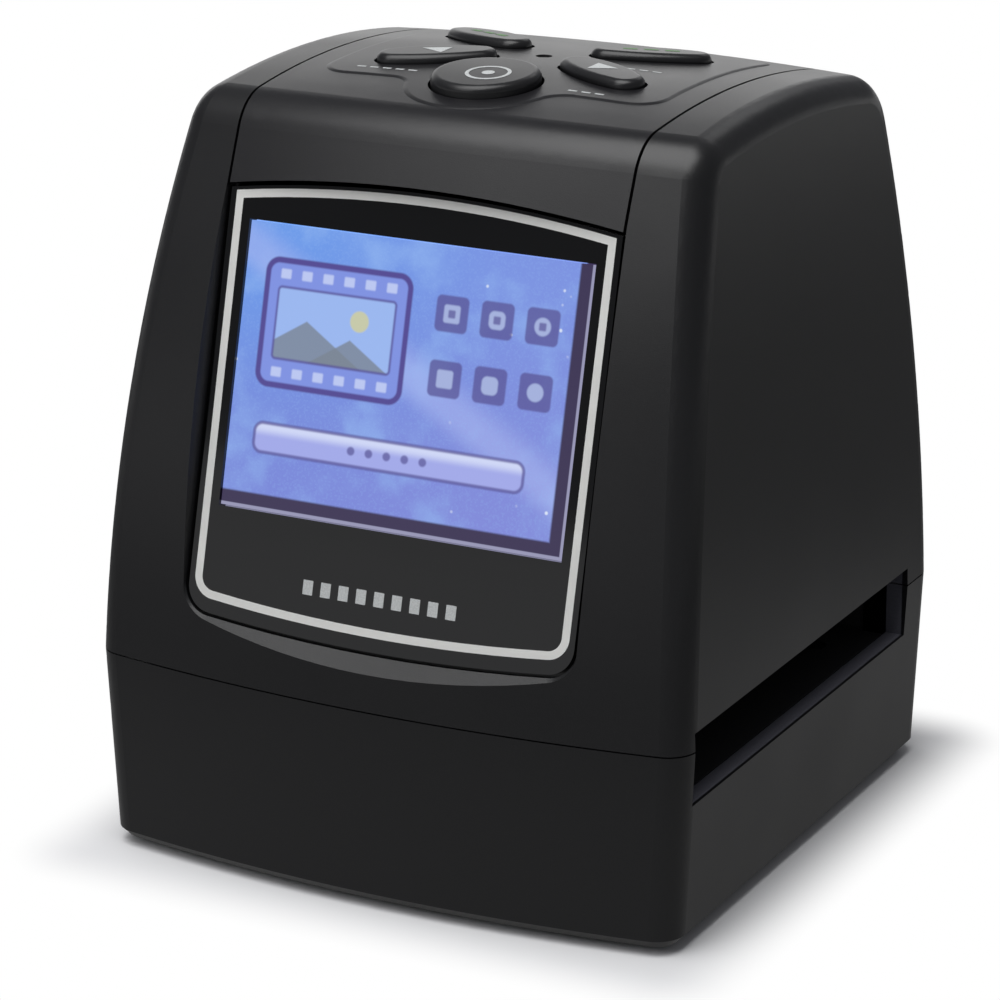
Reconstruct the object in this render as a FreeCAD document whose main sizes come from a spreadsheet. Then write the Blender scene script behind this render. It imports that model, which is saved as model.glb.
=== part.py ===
import FreeCAD, Part
import math
import os
import re
import Sketcher

Vector = FreeCAD.Vector
Rotation = FreeCAD.Rotation

doc = FreeCAD.newDocument("film_scanner")
sheet = doc.addObject("Spreadsheet::Sheet", "sizes")
names = []
parts = []


# The sheet of driving dimensions

def sizes(**lengths):
    """Writes each named size into the sheet, with the name beside it and as the cell's alias."""
    for name, length in lengths.items():
        names.append(name)
        sheet.set("A%d" % len(names), name)
        sheet.set("B%d" % len(names), str(length))
        sheet.setAlias("B%d" % len(names), name)


def value(formula):
    """The number that a formula in the sheet's names comes to."""
    sheet.set("D1", "=" + formula)
    sheet.recompute()
    return float(sheet.get("D1"))


def bound(formula):
    """The same formula with each name pointing at its cell, for an object's expression."""
    return re.sub(r"[a-z]\w*", lambda word: "sizes." + word[0] if word[0] in names else word[0], formula)


# Outer case: millimetres, Z up from the table, front towards -Y, screen facing the reader
sizes(
    case_bottom=1.0,
    seam_height=27.2,
    seam_gap=0.2,
    cover_gap=0.4,
    wall=2.0,
    half_depth=43.1,
    side_half_width=43.1,
    foot_half_width=41.75,
    side_top_half_width=36.5,
    side_top_height=104.0,
    side_radius=633.0,
    section_reach=44.0,
    front_bulge=4.1,
    back_bulge=3.0,
    front_radius=215.0,
    front_arc_height=8.6,
    back_radius=400.0,
    back_arc_height=20.0,
    top_apex=102.0,
    crown=1.45,
    top_radius=155.0,
    top_middle=0.5,
    front_bend=7.0,
    back_bend=8.0,
    edge_radius=4.0,
    rim_slope=1.2,
    overrun=6.0,
)

# Film slot through both side walls, and the thicker wall round its mouth
sizes(
    slot_front=-36.2,
    slot_back=31.7,
    slot_bottom=19.9,
    slot_top=29.7,
    sill_inner=40.0,
    sill_margin=1.6,
)

# Screen plate: it leans back by the tilt, and its plane meets the case bottom at plate_foot
sizes(
    tilt=15.06,
    plate_foot=-49.81,
    plate_half=28.0,
    plate_low=34.7,
    plate_low_radius=235.0,
    plate_corner=3.6,
    plate_high=93.1,
    plate_high_radius=185.0,
    plate_thickness=1.5,
    plate_gap=0.45,
    trim_half=27.2,
    trim_low=36.55,
    trim_high=92.65,
    trim_width=1.08,
    trim_depth=0.35,
    trim_corner=3.0,
    window_half=24.85,
    window_low=50.1,
    window_high=87.2,
    bevel_spread=0.3,
    bevel_drop=2.0,
    bevel_reach=4.0,
    seat_margin=3.4,
    seat_lip=1.8,
    seat_thickness=1.5,
)

# Top cover: the band between the side shells, which widens a little towards the back
sizes(
    band_front_half=28.5,
    band_back_half=29.3,
    band_front=-30.0,
    band_back=45.0,
    band_front_height=88.9,
    band_back_height=84.0,
    lip_high=93.65,
    ledge_width=2.2,
    ledge_depth=4.0,
    ledge_gap=0.3,
    ledge_front=-16.0,
    ledge_back=28.0,
    ledge_bottom=94.0,
    ledge_rear_half=22.0,
    console_half=25.3,
    console_front=-11.0,
    console_back=28.0,
    console_corner=5.0,
    console_ring=11.2,
    console_join=3.0,
    console_rise=0.16,
    console_skin=1.0,
    console_rounding=1.2,
)

# Push buttons: caps, their places and the space round them
sizes(
    scan_radius=7.15,
    scan_place=-9.1,
    scan_rise=1.7,
    petal_length=15.8,
    petal_width=6.7,
    petal_end=2.5,
    petal_rise=1.3,
    front_petal_across=12.1,
    front_petal_along=-0.15,
    front_petal_turn=30.0,
    rear_petal_across=12.05,
    rear_petal_along=14.4,
    rear_petal_turn=26.0,
    cap_clearance=0.35,
    cap_rounding=0.95,
    flange_top=98.2,
    flange_thickness=0.8,
    flange_lip=0.7,
    cap_stem_radius=2.0,
    travel=0.5,
    light_place=7.0,
    light_radius=1.0,
    light_clearance=0.1,
    light_sink=0.35,
    light_flange=1.8,
)

# Button board under the top cover, its switches and its fixings
sizes(
    button_board_half=24.0,
    button_board_front=-17.0,
    button_board_back=24.0,
    button_board_top=92.0,
    board_thickness=1.2,
    boss_across=21.0,
    boss_front=-13.5,
    boss_back=21.2,
    boss_radius=2.2,
    boss_sink=1.0,
    switch_half=3.0,
    switch_height=3.4,
    plunger_radius=1.7,
    plunger_rise=1.0,
    plunger_sink=1.4,
    plunger_clearance=0.08,
    screw_radius=1.0,
    screw_clearance=0.05,
    screw_head_radius=1.9,
    screw_head_height=1.2,
    screw_reach=5.0,
    diode_half=1.0,
    diode_height=1.3,
)

# Screen module behind the plate
sizes(
    panel_half=25.9,
    panel_low=48.7,
    panel_high=88.6,
    panel_front=2.0,
    panel_back=4.0,
    glass_sink=0.3,
    glass_gap=0.15,
    gasket_border=0.9,
    backlight_back=5.6,
    display_frame_half=29.6,
    display_frame_low=45.4,
    display_frame_high=91.0,
    display_frame_back=6.3,
    display_frame_gap=0.1,
    display_flange=1.0,
)

# Film path: bed, rails, diffuser, lamp and the gate above the film
sizes(
    gate_place=-2.25,
    bed_half=39.8,
    bed_thickness=2.4,
    bed_end_front=-34.8,
    bed_end_back=30.8,
    rail_half=36.0,
    rail_front=-37.6,
    rail_back=33.1,
    rail_gap=0.15,
    bed_window_across=19.0,
    bed_window_along=13.5,
    diffuser_across=21.0,
    diffuser_along=15.5,
    diffuser_thickness=1.5,
    light_box_wall=1.5,
    light_box_rim=1.0,
    lamp_board_bottom=5.0,
    lamp_board_across=27.0,
    lamp_board_along=17.5,
    lamp_board_back=20.0,
    lamp_half=1.75,
    lamp_height=0.8,
    lamp_pitch_across=12.0,
    lamp_pitch_along=10.0,
    lamp_post_across=24.6,
    lamp_post_along=13.0,
    post_radius=1.6,
    bed_post_across=33.0,
    bed_post_front=-27.0,
    bed_post_back=22.5,
    bed_post_radius=2.6,
    gate_thickness=1.5,
    gate_half=36.5,
    gate_window_across=18.5,
    gate_window_along=12.75,
    gate_screw_across=23.0,
    gate_screw_along=16.2,
    gate_screw_reach=2.8,
)

# Camera above the gate: shroud, lens and sensor
sizes(
    shroud_flange_across=25.0,
    shroud_flange_along=18.5,
    shroud_flange=1.5,
    shroud_low_across=21.0,
    shroud_low_along=15.5,
    shroud_high_across=11.5,
    shroud_high_along=10.5,
    shroud_wall=1.2,
    shroud_top=56.2,
    shroud_cap=2.0,
    shroud_cap_half=13.0,
    lens_hole=6.0,
    barrel_radius=5.5,
    barrel_bottom=52.0,
    barrel_top=64.4,
    barrel_bore=4.2,
    holder_flange=2.0,
    holder_radius=7.0,
    holder_clearance=0.08,
    holder_shoulder=66.0,
    holder_throat=4.4,
    holder_half=8.0,
    holder_top=70.0,
    holder_wall=1.9,
    filter_thickness=0.5,
    lens_sphere=12.0,
    lens_thickness=2.4,
    lens_low=54.0,
    lens_high=60.5,
    sensor_half_across=4.3,
    sensor_half_along=3.7,
    sensor_thickness=1.2,
    sensor_board_half=14.0,
    pillar_place=11.0,
    pillar_radius=1.9,
    filter_half=5.2,
)

# Main board on the right side wall, with its sockets facing the back
sizes(
    main_board_inner=30.0,
    main_board_thickness=1.6,
    main_board_front=-12.0,
    main_board_back=33.3,
    main_board_low=32.0,
    main_board_high=85.0,
    main_boss_radius=2.4,
    main_screw_front=-9.0,
    main_screw_low=34.6,
    main_screw_high=82.5,
    main_screw_rear=29.5,
    main_screw_middle=17.0,
    card_thickness=2.8,
    card_low=37.5,
    card_high=63.5,
    card_front=10.0,
    card_back=37.0,
    card_slot=2.2,
    card_slot_margin=0.9,
    card_slot_depth=24.0,
    usb_thickness=4.0,
    usb_low=66.6,
    usb_high=74.3,
    usb_front=28.0,
    usb_back=36.3,
    usb_wall=0.45,
    usb_depth=6.0,
    video_half=3.0,
    video_place=79.2,
    video_front=24.0,
    video_back=34.9,
    video_collar=2.5,
    video_collar_length=2.0,
    video_bore=1.8,
    video_depth=11.0,
    port_clearance=0.3,
    chip_height=1.2,
    chip_front=-4.0,
    chip_width=12.0,
    chip_low=45.0,
    memory_low=61.0,
    memory_height=9.0,
    memory_width=8.0,
    socket_height=1.0,
    socket_width=3.0,
    socket_margin=0.5,
)

# Feet, case screws and front hooks
sizes(
    foot_radius=4.0,
    foot_height=1.6,
    foot_clearance=0.1,
    foot_across=31.0,
    foot_front=-30.5,
    foot_back=26.5,
    case_screw_across=29.0,
    case_screw_along=36.6,
    case_boss_radius=2.8,
    case_head_radius=2.2,
    case_head_height=1.4,
    case_screw_top=35.0,
    case_boss_top=37.0,
    hook_across=20.0,
    hook_half=3.5,
    hook_thickness=1.0,
    hook_clearance=0.2,
    hook_drop=4.0,
    hook_rise=3.5,
)

# Leads between the boards
sizes(
    ribbon=0.3,
    ribbon_half=4.0,
    screen_ribbon_low=61.0,
    screen_ribbon_high=71.0,
    screen_ribbon_start=12.0,
    screen_ribbon_turn=22.0,
    screen_ribbon_plane=-23.2,
    screen_ribbon_join=-15.0,
    screen_ribbon_end=-7.5,
    sensor_ribbon_start=7.0,
    sensor_ribbon_end=77.0,
    button_ribbon_along=6.0,
    button_ribbon_start=12.0,
    button_ribbon_end=78.0,
    lead_radius=0.8,
    lead_plug=2.0,
    lead_across=18.0,
    lead_start=18.5,
    lead_back=36.3,
    lead_high=34.5,
    lead_join=26.5,
    lead_end=23.0,
    lead_bend_share=0.45,
)
doc.recompute()


# Sketch helpers

def sketch_on(body, name, role, offset="0"):
    """A sketch on one of the body's own origin planes, moved off that plane by the offset."""
    sketch = body.newObject("Sketcher::SketchObject", name)
    plane = next(feature for feature in body.Origin.OriginFeatures if feature.Role == role)
    sketch.AttachmentSupport = (plane, [""])
    sketch.MapMode = "FlatFace"
    sketch.setExpression("AttachmentOffset.Base.z", bound(offset))
    return sketch


def hold(sketch, kind, places, formula):
    """A dimension of the sketch, bound to the sheet."""
    index = sketch.addConstraint(Sketcher.Constraint(kind, *places, value(formula)))
    sketch.setExpression("Constraints[%d]" % index, bound(formula))


def pin(sketch, curve, end, across, along):
    """Fixes one point of a curve by its two distances from the sketch's origin."""
    for kind, axis, formula in (("DistanceX", -2, across), ("DistanceY", -1, along)):
        if formula == "0":
            sketch.addConstraint(Sketcher.Constraint("PointOnObject", curve, end, axis))
        elif formula is not None:
            hold(sketch, kind, (-1, 1, curve, end), formula)


def join(sketch, curves, smooth=()):
    """Adds a closed run of curves; the joints numbered in smooth are tangent, the others plain corners."""
    sketch.addGeometry(curves, False)
    for first in range(len(curves)):
        second = (first + 1) % len(curves)
        pairs = [(one, two) for one in (1, 2) for two in (1, 2)]
        one, two = min(pairs, key=lambda ends: sketch.getPoint(first, ends[0]).distanceToPoint(
            sketch.getPoint(second, ends[1])))
        kind = "Tangent" if first in smooth else "Coincident"
        sketch.addConstraint(Sketcher.Constraint(kind, first, one, second, two))


def near_end(sketch, curve, point):
    """Which end of the curve lies at the point."""
    return min((1, 2), key=lambda end: sketch.getPoint(curve, end).distanceToPoint(point))


def arc_about(centre, radius, start, end):
    """The shorter arc about a centre from one point to another."""
    first = math.atan2(start.y - centre.y, start.x - centre.x)
    second = math.atan2(end.y - centre.y, end.x - centre.x)
    if second - first > math.pi:
        second -= 2 * math.pi
    if first - second > math.pi:
        second += 2 * math.pi
    middle = (first + second) / 2
    return Part.Arc(start, centre + Vector(math.cos(middle), math.sin(middle)) * radius, end)


def towards(centre, radius, point):
    """The point of a circle that lies on the way from its centre to another point."""
    way = point - centre
    return centre + way * (radius / way.Length)


def polygon(sketch, corners):
    """A closed outline of straight edges, every corner fixed by a pair of formulas."""
    points = [Vector(value(across), value(along)) for across, along in corners]
    join(sketch, [Part.LineSegment(points[i], points[(i + 1) % len(points)]) for i in range(len(points))])
    for i, (across, along) in enumerate(corners):
        pin(sketch, i, near_end(sketch, i, points[i]), across, along)


def rectangle(sketch, across, along):
    """A rectangle between two pairs of formulas."""
    polygon(sketch, [(across[0], along[0]), (across[1], along[0]),
                     (across[1], along[1]), (across[0], along[1])])


def feature(body, kind, name, profile, **lengths):
    """A pad, pocket or loft of the body, its lengths bound to the sheet."""
    made = body.newObject("PartDesign::" + kind, name)
    made.Profile = profile
    for prop, formula in lengths.items():
        made.setExpression(prop, bound(formula))
    return made


def new_body(name):
    return doc.addObject("PartDesign::Body", name)


# Solid helpers

def box(name, across, along, up):
    """A block between three pairs of formulas, one pair for each axis."""
    made = doc.addObject("Part::Box", name)
    for prop, axis, (low, high) in (("Length", "x", across), ("Width", "y", along), ("Height", "z", up)):
        made.setExpression(prop, bound("(%s) - (%s)" % (high, low)))
        made.setExpression("Placement.Base." + axis, bound(low))
    return made


def cylinder(name, radius, span, first, second, axis="z"):
    """A round bar along an axis, between the two formulas of its span."""
    made = doc.addObject("Part::Cylinder", name)
    turn = {"x": Rotation(Vector(0, 1, 0), 90), "y": Rotation(Vector(1, 0, 0), -90), "z": Rotation()}[axis]
    made.Placement = FreeCAD.Placement(Vector(), turn)
    made.setExpression("Radius", bound(radius))
    made.setExpression("Height", bound("(%s) - (%s)" % (span[1], span[0])))
    others = [letter for letter in "xyz" if letter != axis]
    for letter, formula in zip([axis] + others, (span[0], first, second)):
        made.setExpression("Placement.Base." + letter, bound(formula))
    return made


def group(name, members):
    made = doc.addObject("Part::Compound", name)
    made.Links = members
    return made


def fuse(name, members):
    made = doc.addObject("Part::MultiFuse", name)
    made.Shapes = members
    return made


def common(name, first, second):
    made = doc.addObject("Part::Common", name)
    made.Base = first
    made.Tool = second
    return made


def cut(name, base, tools):
    """The base with every tool taken out of it."""
    made = doc.addObject("Part::Cut", name)
    made.Base = base
    made.Tool = tools[0] if len(tools) == 1 else fuse(name + "_tools", tools)
    return made


def shifted(name, source, up):
    """A copy of a solid, moved upwards."""
    made = group(name, [source])
    made.setExpression("Placement.Base.z", bound(up))
    return made


def lean(made):
    """Puts a piece that is drawn upright into the leaning plane of the screen plate."""
    place = Vector(0, value("plate_foot"), value("case_bottom"))
    made.Placement = FreeCAD.Placement(place, Rotation(Vector(1, 0, 0), -value("tilt")))
    return made


def keep(made, label):
    """Names a finished sub-part and lists it for writing out."""
    made.Label = label
    parts.append(made)
    return made


def flat_pair(name, half, along, up):
    """A left and a right block, each from half[0] to half[1] off the middle."""
    right = box(name + "_right", half, along, up)
    left = box(name + "_left", ("-(%s)" % half[1], "-(%s)" % half[0]), along, up)
    return [left, right]


# Upper form: three side-view sections, lofted across the width, then trimmed by the front view

def inner_circle(one, one_radius, two, two_radius, radius):
    """Centre of the circle that touches two large circles from inside, on their upper side."""
    span = (two - one).Length
    first = one_radius - radius
    second = two_radius - radius
    reach = (first * first - second * second + span * span) / (2 * span)
    rise = math.sqrt(first * first - reach * reach)
    along = (two - one) * (1 / span)
    square = Vector(-along.y, along.x)
    return max((one + along * reach + square * side for side in (rise, -rise)), key=lambda point: point.y)


def side_section(body, name, at, front, back, apex, low, inset):
    """Front arc, front bend, domed top, back bend, back arc and a straight bottom, in the plane x = at."""
    sketch = sketch_on(body, name, "YZ_Plane", at)
    radii = ["%s - %s" % (radius, inset) for radius in
             ("front_radius", "front_bend", "top_radius", "back_bend", "back_radius")]
    front_radius, front_bend, top_radius, back_bend, back_radius = [value(radius) for radius in radii]
    start = Vector(value(front), value(low))
    end = Vector(value(back), value(low))
    front_centre = Vector(0, value("front_arc_height"))
    front_centre.x = start.x + math.sqrt(front_radius ** 2 - (start.y - front_centre.y) ** 2)
    back_centre = Vector(0, value("back_arc_height"))
    back_centre.x = end.x - math.sqrt(back_radius ** 2 - (end.y - back_centre.y) ** 2)
    top_centre = Vector(value("top_middle"), value("%s - top_radius" % apex))
    front_turn = inner_circle(front_centre, front_radius, top_centre, top_radius, front_bend)
    back_turn = inner_circle(back_centre, back_radius, top_centre, top_radius, back_bend)
    points = [start,
              towards(front_centre, front_radius, front_turn), towards(top_centre, top_radius, front_turn),
              towards(top_centre, top_radius, back_turn), towards(back_centre, back_radius, back_turn), end]
    centres = [front_centre, front_turn, top_centre, back_turn, back_centre]
    arcs = [arc_about(centre, (points[i] - centre).Length, points[i], points[i + 1])
            for i, centre in enumerate(centres)]
    join(sketch, arcs + [Part.LineSegment(end, start)], smooth=(0, 1, 2, 3))
    for i, radius in enumerate(radii):
        hold(sketch, "Radius", (i,), radius)
    pin(sketch, 0, near_end(sketch, 0, start), front, low)
    pin(sketch, 4, near_end(sketch, 4, end), back, low)
    pin(sketch, 0, 3, None, "front_arc_height")
    pin(sketch, 4, 3, None, "back_arc_height")
    pin(sketch, 2, 3, "top_middle", "%s - top_radius" % apex)
    return sketch


def upper_form(name, low, inset):
    """The whole rounded body above a height, smaller by the inset all round."""
    body = new_body(name)
    sections = []
    for number, (at, bulge, drop) in enumerate((("-section_reach", 1, " - crown"), ("0", 0, ""),
                                                ("section_reach", 1, " - crown"))):
        front = "%s - half_depth%s" % (inset, " + front_bulge" * bulge)
        back = "half_depth - %s%s" % (inset, " - back_bulge" * bulge)
        sections.append(side_section(body, "%s_section_%d" % (name, number), at, front, back,
                                     "top_apex" + drop, low, inset))
    loft = feature(body, "AdditiveLoft", name + "_loft", sections[0])
    loft.Sections = sections[1:]
    sides = sketch_on(body, name + "_sides", "XZ_Plane")
    for hand in (-1, 1):
        sign = "" if hand > 0 else "-"
        start = Vector(hand * value("side_half_width - " + inset), value("seam_height"))
        end = Vector(hand * value("side_top_half_width - " + inset), value("side_top_height"))
        half = (end - start) * 0.5
        radius = value("side_radius")
        square = Vector(half.y, -half.x) * (hand / half.Length)
        bulge = radius - math.sqrt(radius ** 2 - half.Length ** 2)
        outer = hand * value("section_reach + overrun")
        corners = [Vector(outer, end.y), Vector(outer, value("seam_height - overrun")),
                   Vector(start.x, value("seam_height - overrun"))]
        first = sides.GeometryCount
        curves = [Part.Arc(start, start + half + square * bulge, end), Part.LineSegment(end, corners[0]),
                  Part.LineSegment(corners[0], corners[1]), Part.LineSegment(corners[1], corners[2]),
                  Part.LineSegment(corners[2], start)]
        sides.addGeometry(curves, False)
        for one in range(5):
            two = first + (one + 1) % 5
            pairs = [(a, b) for a in (1, 2) for b in (1, 2)]
            a, b = min(pairs, key=lambda ends: sides.getPoint(first + one, ends[0]).distanceToPoint(
                sides.getPoint(two, ends[1])))
            sides.addConstraint(Sketcher.Constraint("Coincident", first + one, a, two, b))
        hold(sides, "Radius", (first,), "side_radius")
        inner_low = "%s(side_half_width - %s)" % (sign, inset)
        pin(sides, first, near_end(sides, first, start), inner_low, "seam_height")
        pin(sides, first, near_end(sides, first, end),
            "%s(side_top_half_width - %s)" % (sign, inset), "side_top_height")
        rim = "%s(section_reach + overrun)" % sign
        pin(sides, first + 2, near_end(sides, first + 2, corners[0]), rim, "side_top_height")
        pin(sides, first + 2, near_end(sides, first + 2, corners[1]), rim, "seam_height - overrun")
        pin(sides, first + 4, near_end(sides, first + 4, corners[2]), inner_low, "seam_height - overrun")
    trim = feature(body, "Pocket", name + "_trim", sides)
    trim.Type = "ThroughAll"
    trim.Midplane = True
    doc.recompute()
    edges = []
    for number, edge in enumerate(trim.Shape.Edges):
        middle = edge.valueAt((edge.FirstParameter + edge.LastParameter) / 2)
        outside = abs(middle.x) > value("side_top_half_width - edge_radius")
        if outside and middle.z > value(low) + value("seam_gap"):
            edges.append("Edge%d" % (number + 1))
    round_off = body.newObject("PartDesign::Fillet", name + "_edges")
    round_off.Base = (trim, edges)
    round_off.setExpression("Radius", bound("edge_radius - " + inset))
    return body


outer_form = upper_form("outer_form", "seam_height + seam_gap / 2", "0")
inner_form = upper_form("inner_form", "seam_height - seam_gap", "wall")
doc.recompute()


# Lower form: a bulged plan outline that widens up to the seam

def plan_section(body, name, height, half, inset):
    """Front arc, right side, back arc and left side with rounded corners, in plan."""
    sketch = sketch_on(body, name, "XY_Plane", height)
    share = "((%s) / section_reach) ^ 2" % half
    wide = value(half)
    turn = value("edge_radius - " + inset)
    ends = {}
    for end, sign, bulge in (("front", -1, "front_bulge"), ("back", 1, "back_bulge")):
        rise = "(%s * %s)" % (bulge, share)
        radius = "((%s) ^ 2 + %s ^ 2) / (2 * %s)" % (half, rise, rise)
        centre = "%d * (half_depth - %s - (%s))" % (sign, inset, radius)
        corner_along = value(centre) + sign * math.sqrt((value(radius) - turn) ** 2 - (wide - turn) ** 2)
        corner = Vector(wide - turn, corner_along)
        touch = towards(Vector(0, value(centre)), value(radius), corner)
        ends[end] = (radius, centre, corner, touch)
    mirrored = {end: [Vector(-point.x, point.y) for point in ends[end][2:]] for end in ends}
    radius, centre, corner, touch = ends["front"]
    back_radius, back_centre, back_corner, back_touch = ends["back"]
    left_corner, left_touch = mirrored["front"]
    left_back_corner, left_back_touch = mirrored["back"]
    side = Vector(wide, corner.y)
    back_side = Vector(wide, back_corner.y)
    left_side = Vector(-wide, corner.y)
    left_back_side = Vector(-wide, back_corner.y)
    join(sketch, [arc_about(Vector(0, value(centre)), value(radius), left_touch, touch),
                  arc_about(corner, turn, touch, side), Part.LineSegment(side, back_side),
                  arc_about(back_corner, turn, back_side, back_touch),
                  arc_about(Vector(0, value(back_centre)), value(back_radius), back_touch, left_back_touch),
                  arc_about(left_back_corner, turn, left_back_touch, left_back_side),
                  Part.LineSegment(left_back_side, left_side),
                  arc_about(left_corner, turn, left_side, left_touch)], smooth=range(8))
    for curve in (1, 3, 5, 7):
        hold(sketch, "Radius", (curve,), "edge_radius - " + inset)
    for curve, arc_radius, arc_centre in ((0, radius, centre), (4, back_radius, back_centre)):
        hold(sketch, "Radius", (curve,), arc_radius)
        pin(sketch, curve, 3, "0", arc_centre)
    for curve, sign in ((2, ""), (6, "-")):
        sketch.addConstraint(Sketcher.Constraint("Vertical", curve))
        pin(sketch, curve, 1, "%s(%s)" % (sign, half), None)
    return sketch


def lower_form(name, low, high, inset, rim):
    """The foot of the case between two heights, smaller by the inset all round, with a sloped bottom rim."""
    body = new_body(name)
    foot = "foot_half_width - " + inset
    sections = [plan_section(body, name + "_low", "%s + %s" % (low, rim), foot, inset),
                plan_section(body, name + "_high", high, "side_half_width - " + inset, inset)]
    if rim != "0":
        inner = "(%s + %s)" % (inset, rim)
        sections.insert(0, plan_section(body, name + "_rim", low, "foot_half_width - " + inner, inner))
    loft = feature(body, "AdditiveLoft", name + "_loft", sections[0])
    loft.Sections = sections[1:]
    loft.Ruled = True
    return body


base_outer = lower_form("base_outer", "case_bottom", "seam_height - seam_gap / 2", "0", "rim_slope")
base_inner = lower_form("base_inner", "case_bottom + wall", "seam_height + seam_gap", "wall", "0")
doc.recompute()

# Film slot: one straight tunnel through both side walls
slot = box("slot", ("-section_reach - overrun", "section_reach + overrun"), ("slot_front", "slot_back"),
           ("slot_bottom", "slot_top"))

# Thickened wall round the slot's mouths, shared out between the two shells
sill_along = ("slot_front - sill_margin", "slot_back + sill_margin")
sills = fuse("sills", flat_pair("sill", ("sill_inner", "side_half_width"), sill_along,
                                ("slot_bottom - sill_margin", "slot_top + sill_margin")))

# Base case: floor, walls, foot recesses, rear screw bosses and posts for the film bed and the lamp board
floor_top = "case_bottom + wall"
boss_span = (floor_top, "seam_height")
base_boss_list = [cylinder("base_boss_%d" % hand, "case_boss_radius", boss_span,
                           "%d * case_screw_across" % hand, "case_screw_along") for hand in (-1, 1)]
bed_bottom = "slot_bottom - bed_thickness"
bed_places = [("%d * bed_post_across" % hand, along) for hand in (-1, 1)
              for along in ("bed_post_front", "bed_post_back")]
bed_posts = [cylinder("bed_post_%d" % number, "bed_post_radius", (floor_top, bed_bottom), across, along)
             for number, (across, along) in enumerate(bed_places)]
lamp_places = [("%d * lamp_post_across" % hand, "gate_place + %d * lamp_post_along" % side)
               for hand in (-1, 1) for side in (-1, 1)]
lamp_posts = [cylinder("lamp_post_%d" % number, "post_radius", (floor_top, "lamp_board_bottom"),
                       across, along) for number, (across, along) in enumerate(lamp_places)]
base_shell = cut("base_shell", base_outer, [base_inner])
base_sills = common("base_sills", sills, base_outer)
base_solid = fuse("base_solid", [base_shell, base_sills] + base_boss_list + bed_posts + lamp_posts)
foot_places = {"foot_%s_%s" % (end, hand): ("%s * foot_across" % sign, along)
               for end, along in (("front", "foot_front"), ("rear", "foot_back"))
               for hand, sign in (("left", "-1"), ("right", "1"))}
foot_recesses = [cylinder("recess_" + name, "foot_radius + foot_clearance",
                          ("case_bottom - overrun", "foot_height"), across, along)
                 for name, (across, along) in foot_places.items()]
screw_places = [("%d * case_screw_across" % hand, "case_screw_along") for hand in (-1, 1)]
screw_bores = [cylinder("screw_bore_%d" % number, "screw_radius + screw_clearance",
                        ("case_bottom - overrun", "case_screw_top + screw_clearance"), across, along)
               for number, (across, along) in enumerate(screw_places)]
screw_wells = [cylinder("screw_well_%d" % number, "case_head_radius + foot_clearance",
                        ("case_bottom - overrun", "case_bottom + case_head_height"), across, along)
               for number, (across, along) in enumerate(screw_places)]
bed_pilots = [cylinder("bed_pilot_%d" % number, "screw_radius + screw_clearance",
                       ("slot_bottom - screw_reach - screw_head_height", "slot_bottom + overrun"),
                       across, along) for number, (across, along) in enumerate(bed_places)]
keep(cut("base_case_solid", base_solid, [slot] + foot_recesses + screw_bores + screw_wells + bed_pilots),
     "base_case")

# Feet: soft discs pressed into the recesses
for foot, (across, along) in foot_places.items():
    keep(cylinder(foot + "_disc", "foot_radius", ("0", "foot_height"), across, along), foot)


# Screen plate outline: bottom arc, rounded lower corners, straight sides, arched top with plain corners

def plate_outline(body, name, depth, half, low, corner, high, high_radius):
    """The outline of the leaning plate or of anything that runs round it, at a depth behind its face."""
    sketch = sketch_on(body, name, "XZ_Plane", "-(%s)" % depth)
    wide = value(half)
    low_radius = value("plate_low_radius")
    top_radius = value(high_radius)
    turn = value(corner)
    low_centre = Vector(0, value(low) + low_radius)
    top_centre = Vector(0, value(high) - top_radius)
    corner_rise = math.sqrt((low_radius - turn) ** 2 - (wide - turn) ** 2)
    right_turn = Vector(wide - turn, low_centre.y - corner_rise)
    left_turn = Vector(-right_turn.x, right_turn.y)
    top_corner = top_centre.y + math.sqrt(top_radius ** 2 - wide ** 2)
    right_low = towards(low_centre, low_radius, right_turn)
    left_low = Vector(-right_low.x, right_low.y)
    right_side = Vector(wide, right_turn.y)
    left_side = Vector(-wide, right_turn.y)
    right_top = Vector(wide, top_corner)
    left_top = Vector(-wide, top_corner)
    join(sketch, [arc_about(low_centre, low_radius, left_low, right_low),
                  arc_about(right_turn, turn, right_low, right_side),
                  Part.LineSegment(right_side, right_top),
                  arc_about(top_centre, top_radius, right_top, left_top),
                  Part.LineSegment(left_top, left_side),
                  arc_about(left_turn, turn, left_side, left_low)], smooth=(0, 1, 4, 5))
    hold(sketch, "Radius", (0,), "plate_low_radius")
    hold(sketch, "Radius", (1,), corner)
    hold(sketch, "Radius", (5,), corner)
    hold(sketch, "Radius", (3,), high_radius)
    pin(sketch, 0, 3, "0", "%s + plate_low_radius" % low)
    pin(sketch, 3, 3, "0", "%s - %s" % (high, high_radius))
    sketch.addConstraint(Sketcher.Constraint("Vertical", 2))
    sketch.addConstraint(Sketcher.Constraint("Vertical", 4))
    pin(sketch, 2, near_end(sketch, 2, right_top), half, None)
    pin(sketch, 4, near_end(sketch, 4, left_top), "-(%s)" % half, None)
    return sketch


def plate_prism(name, depth, thickness, half, low, corner, high, high_radius="plate_high_radius"):
    """The plate outline carried inwards from a depth by a thickness, drawn upright."""
    body = new_body(name)
    sketch = plate_outline(body, name + "_outline", depth, half, low, corner, high, high_radius)
    feature(body, "Pad", name + "_pad", sketch, Length=thickness).Reversed = True
    return body


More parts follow.
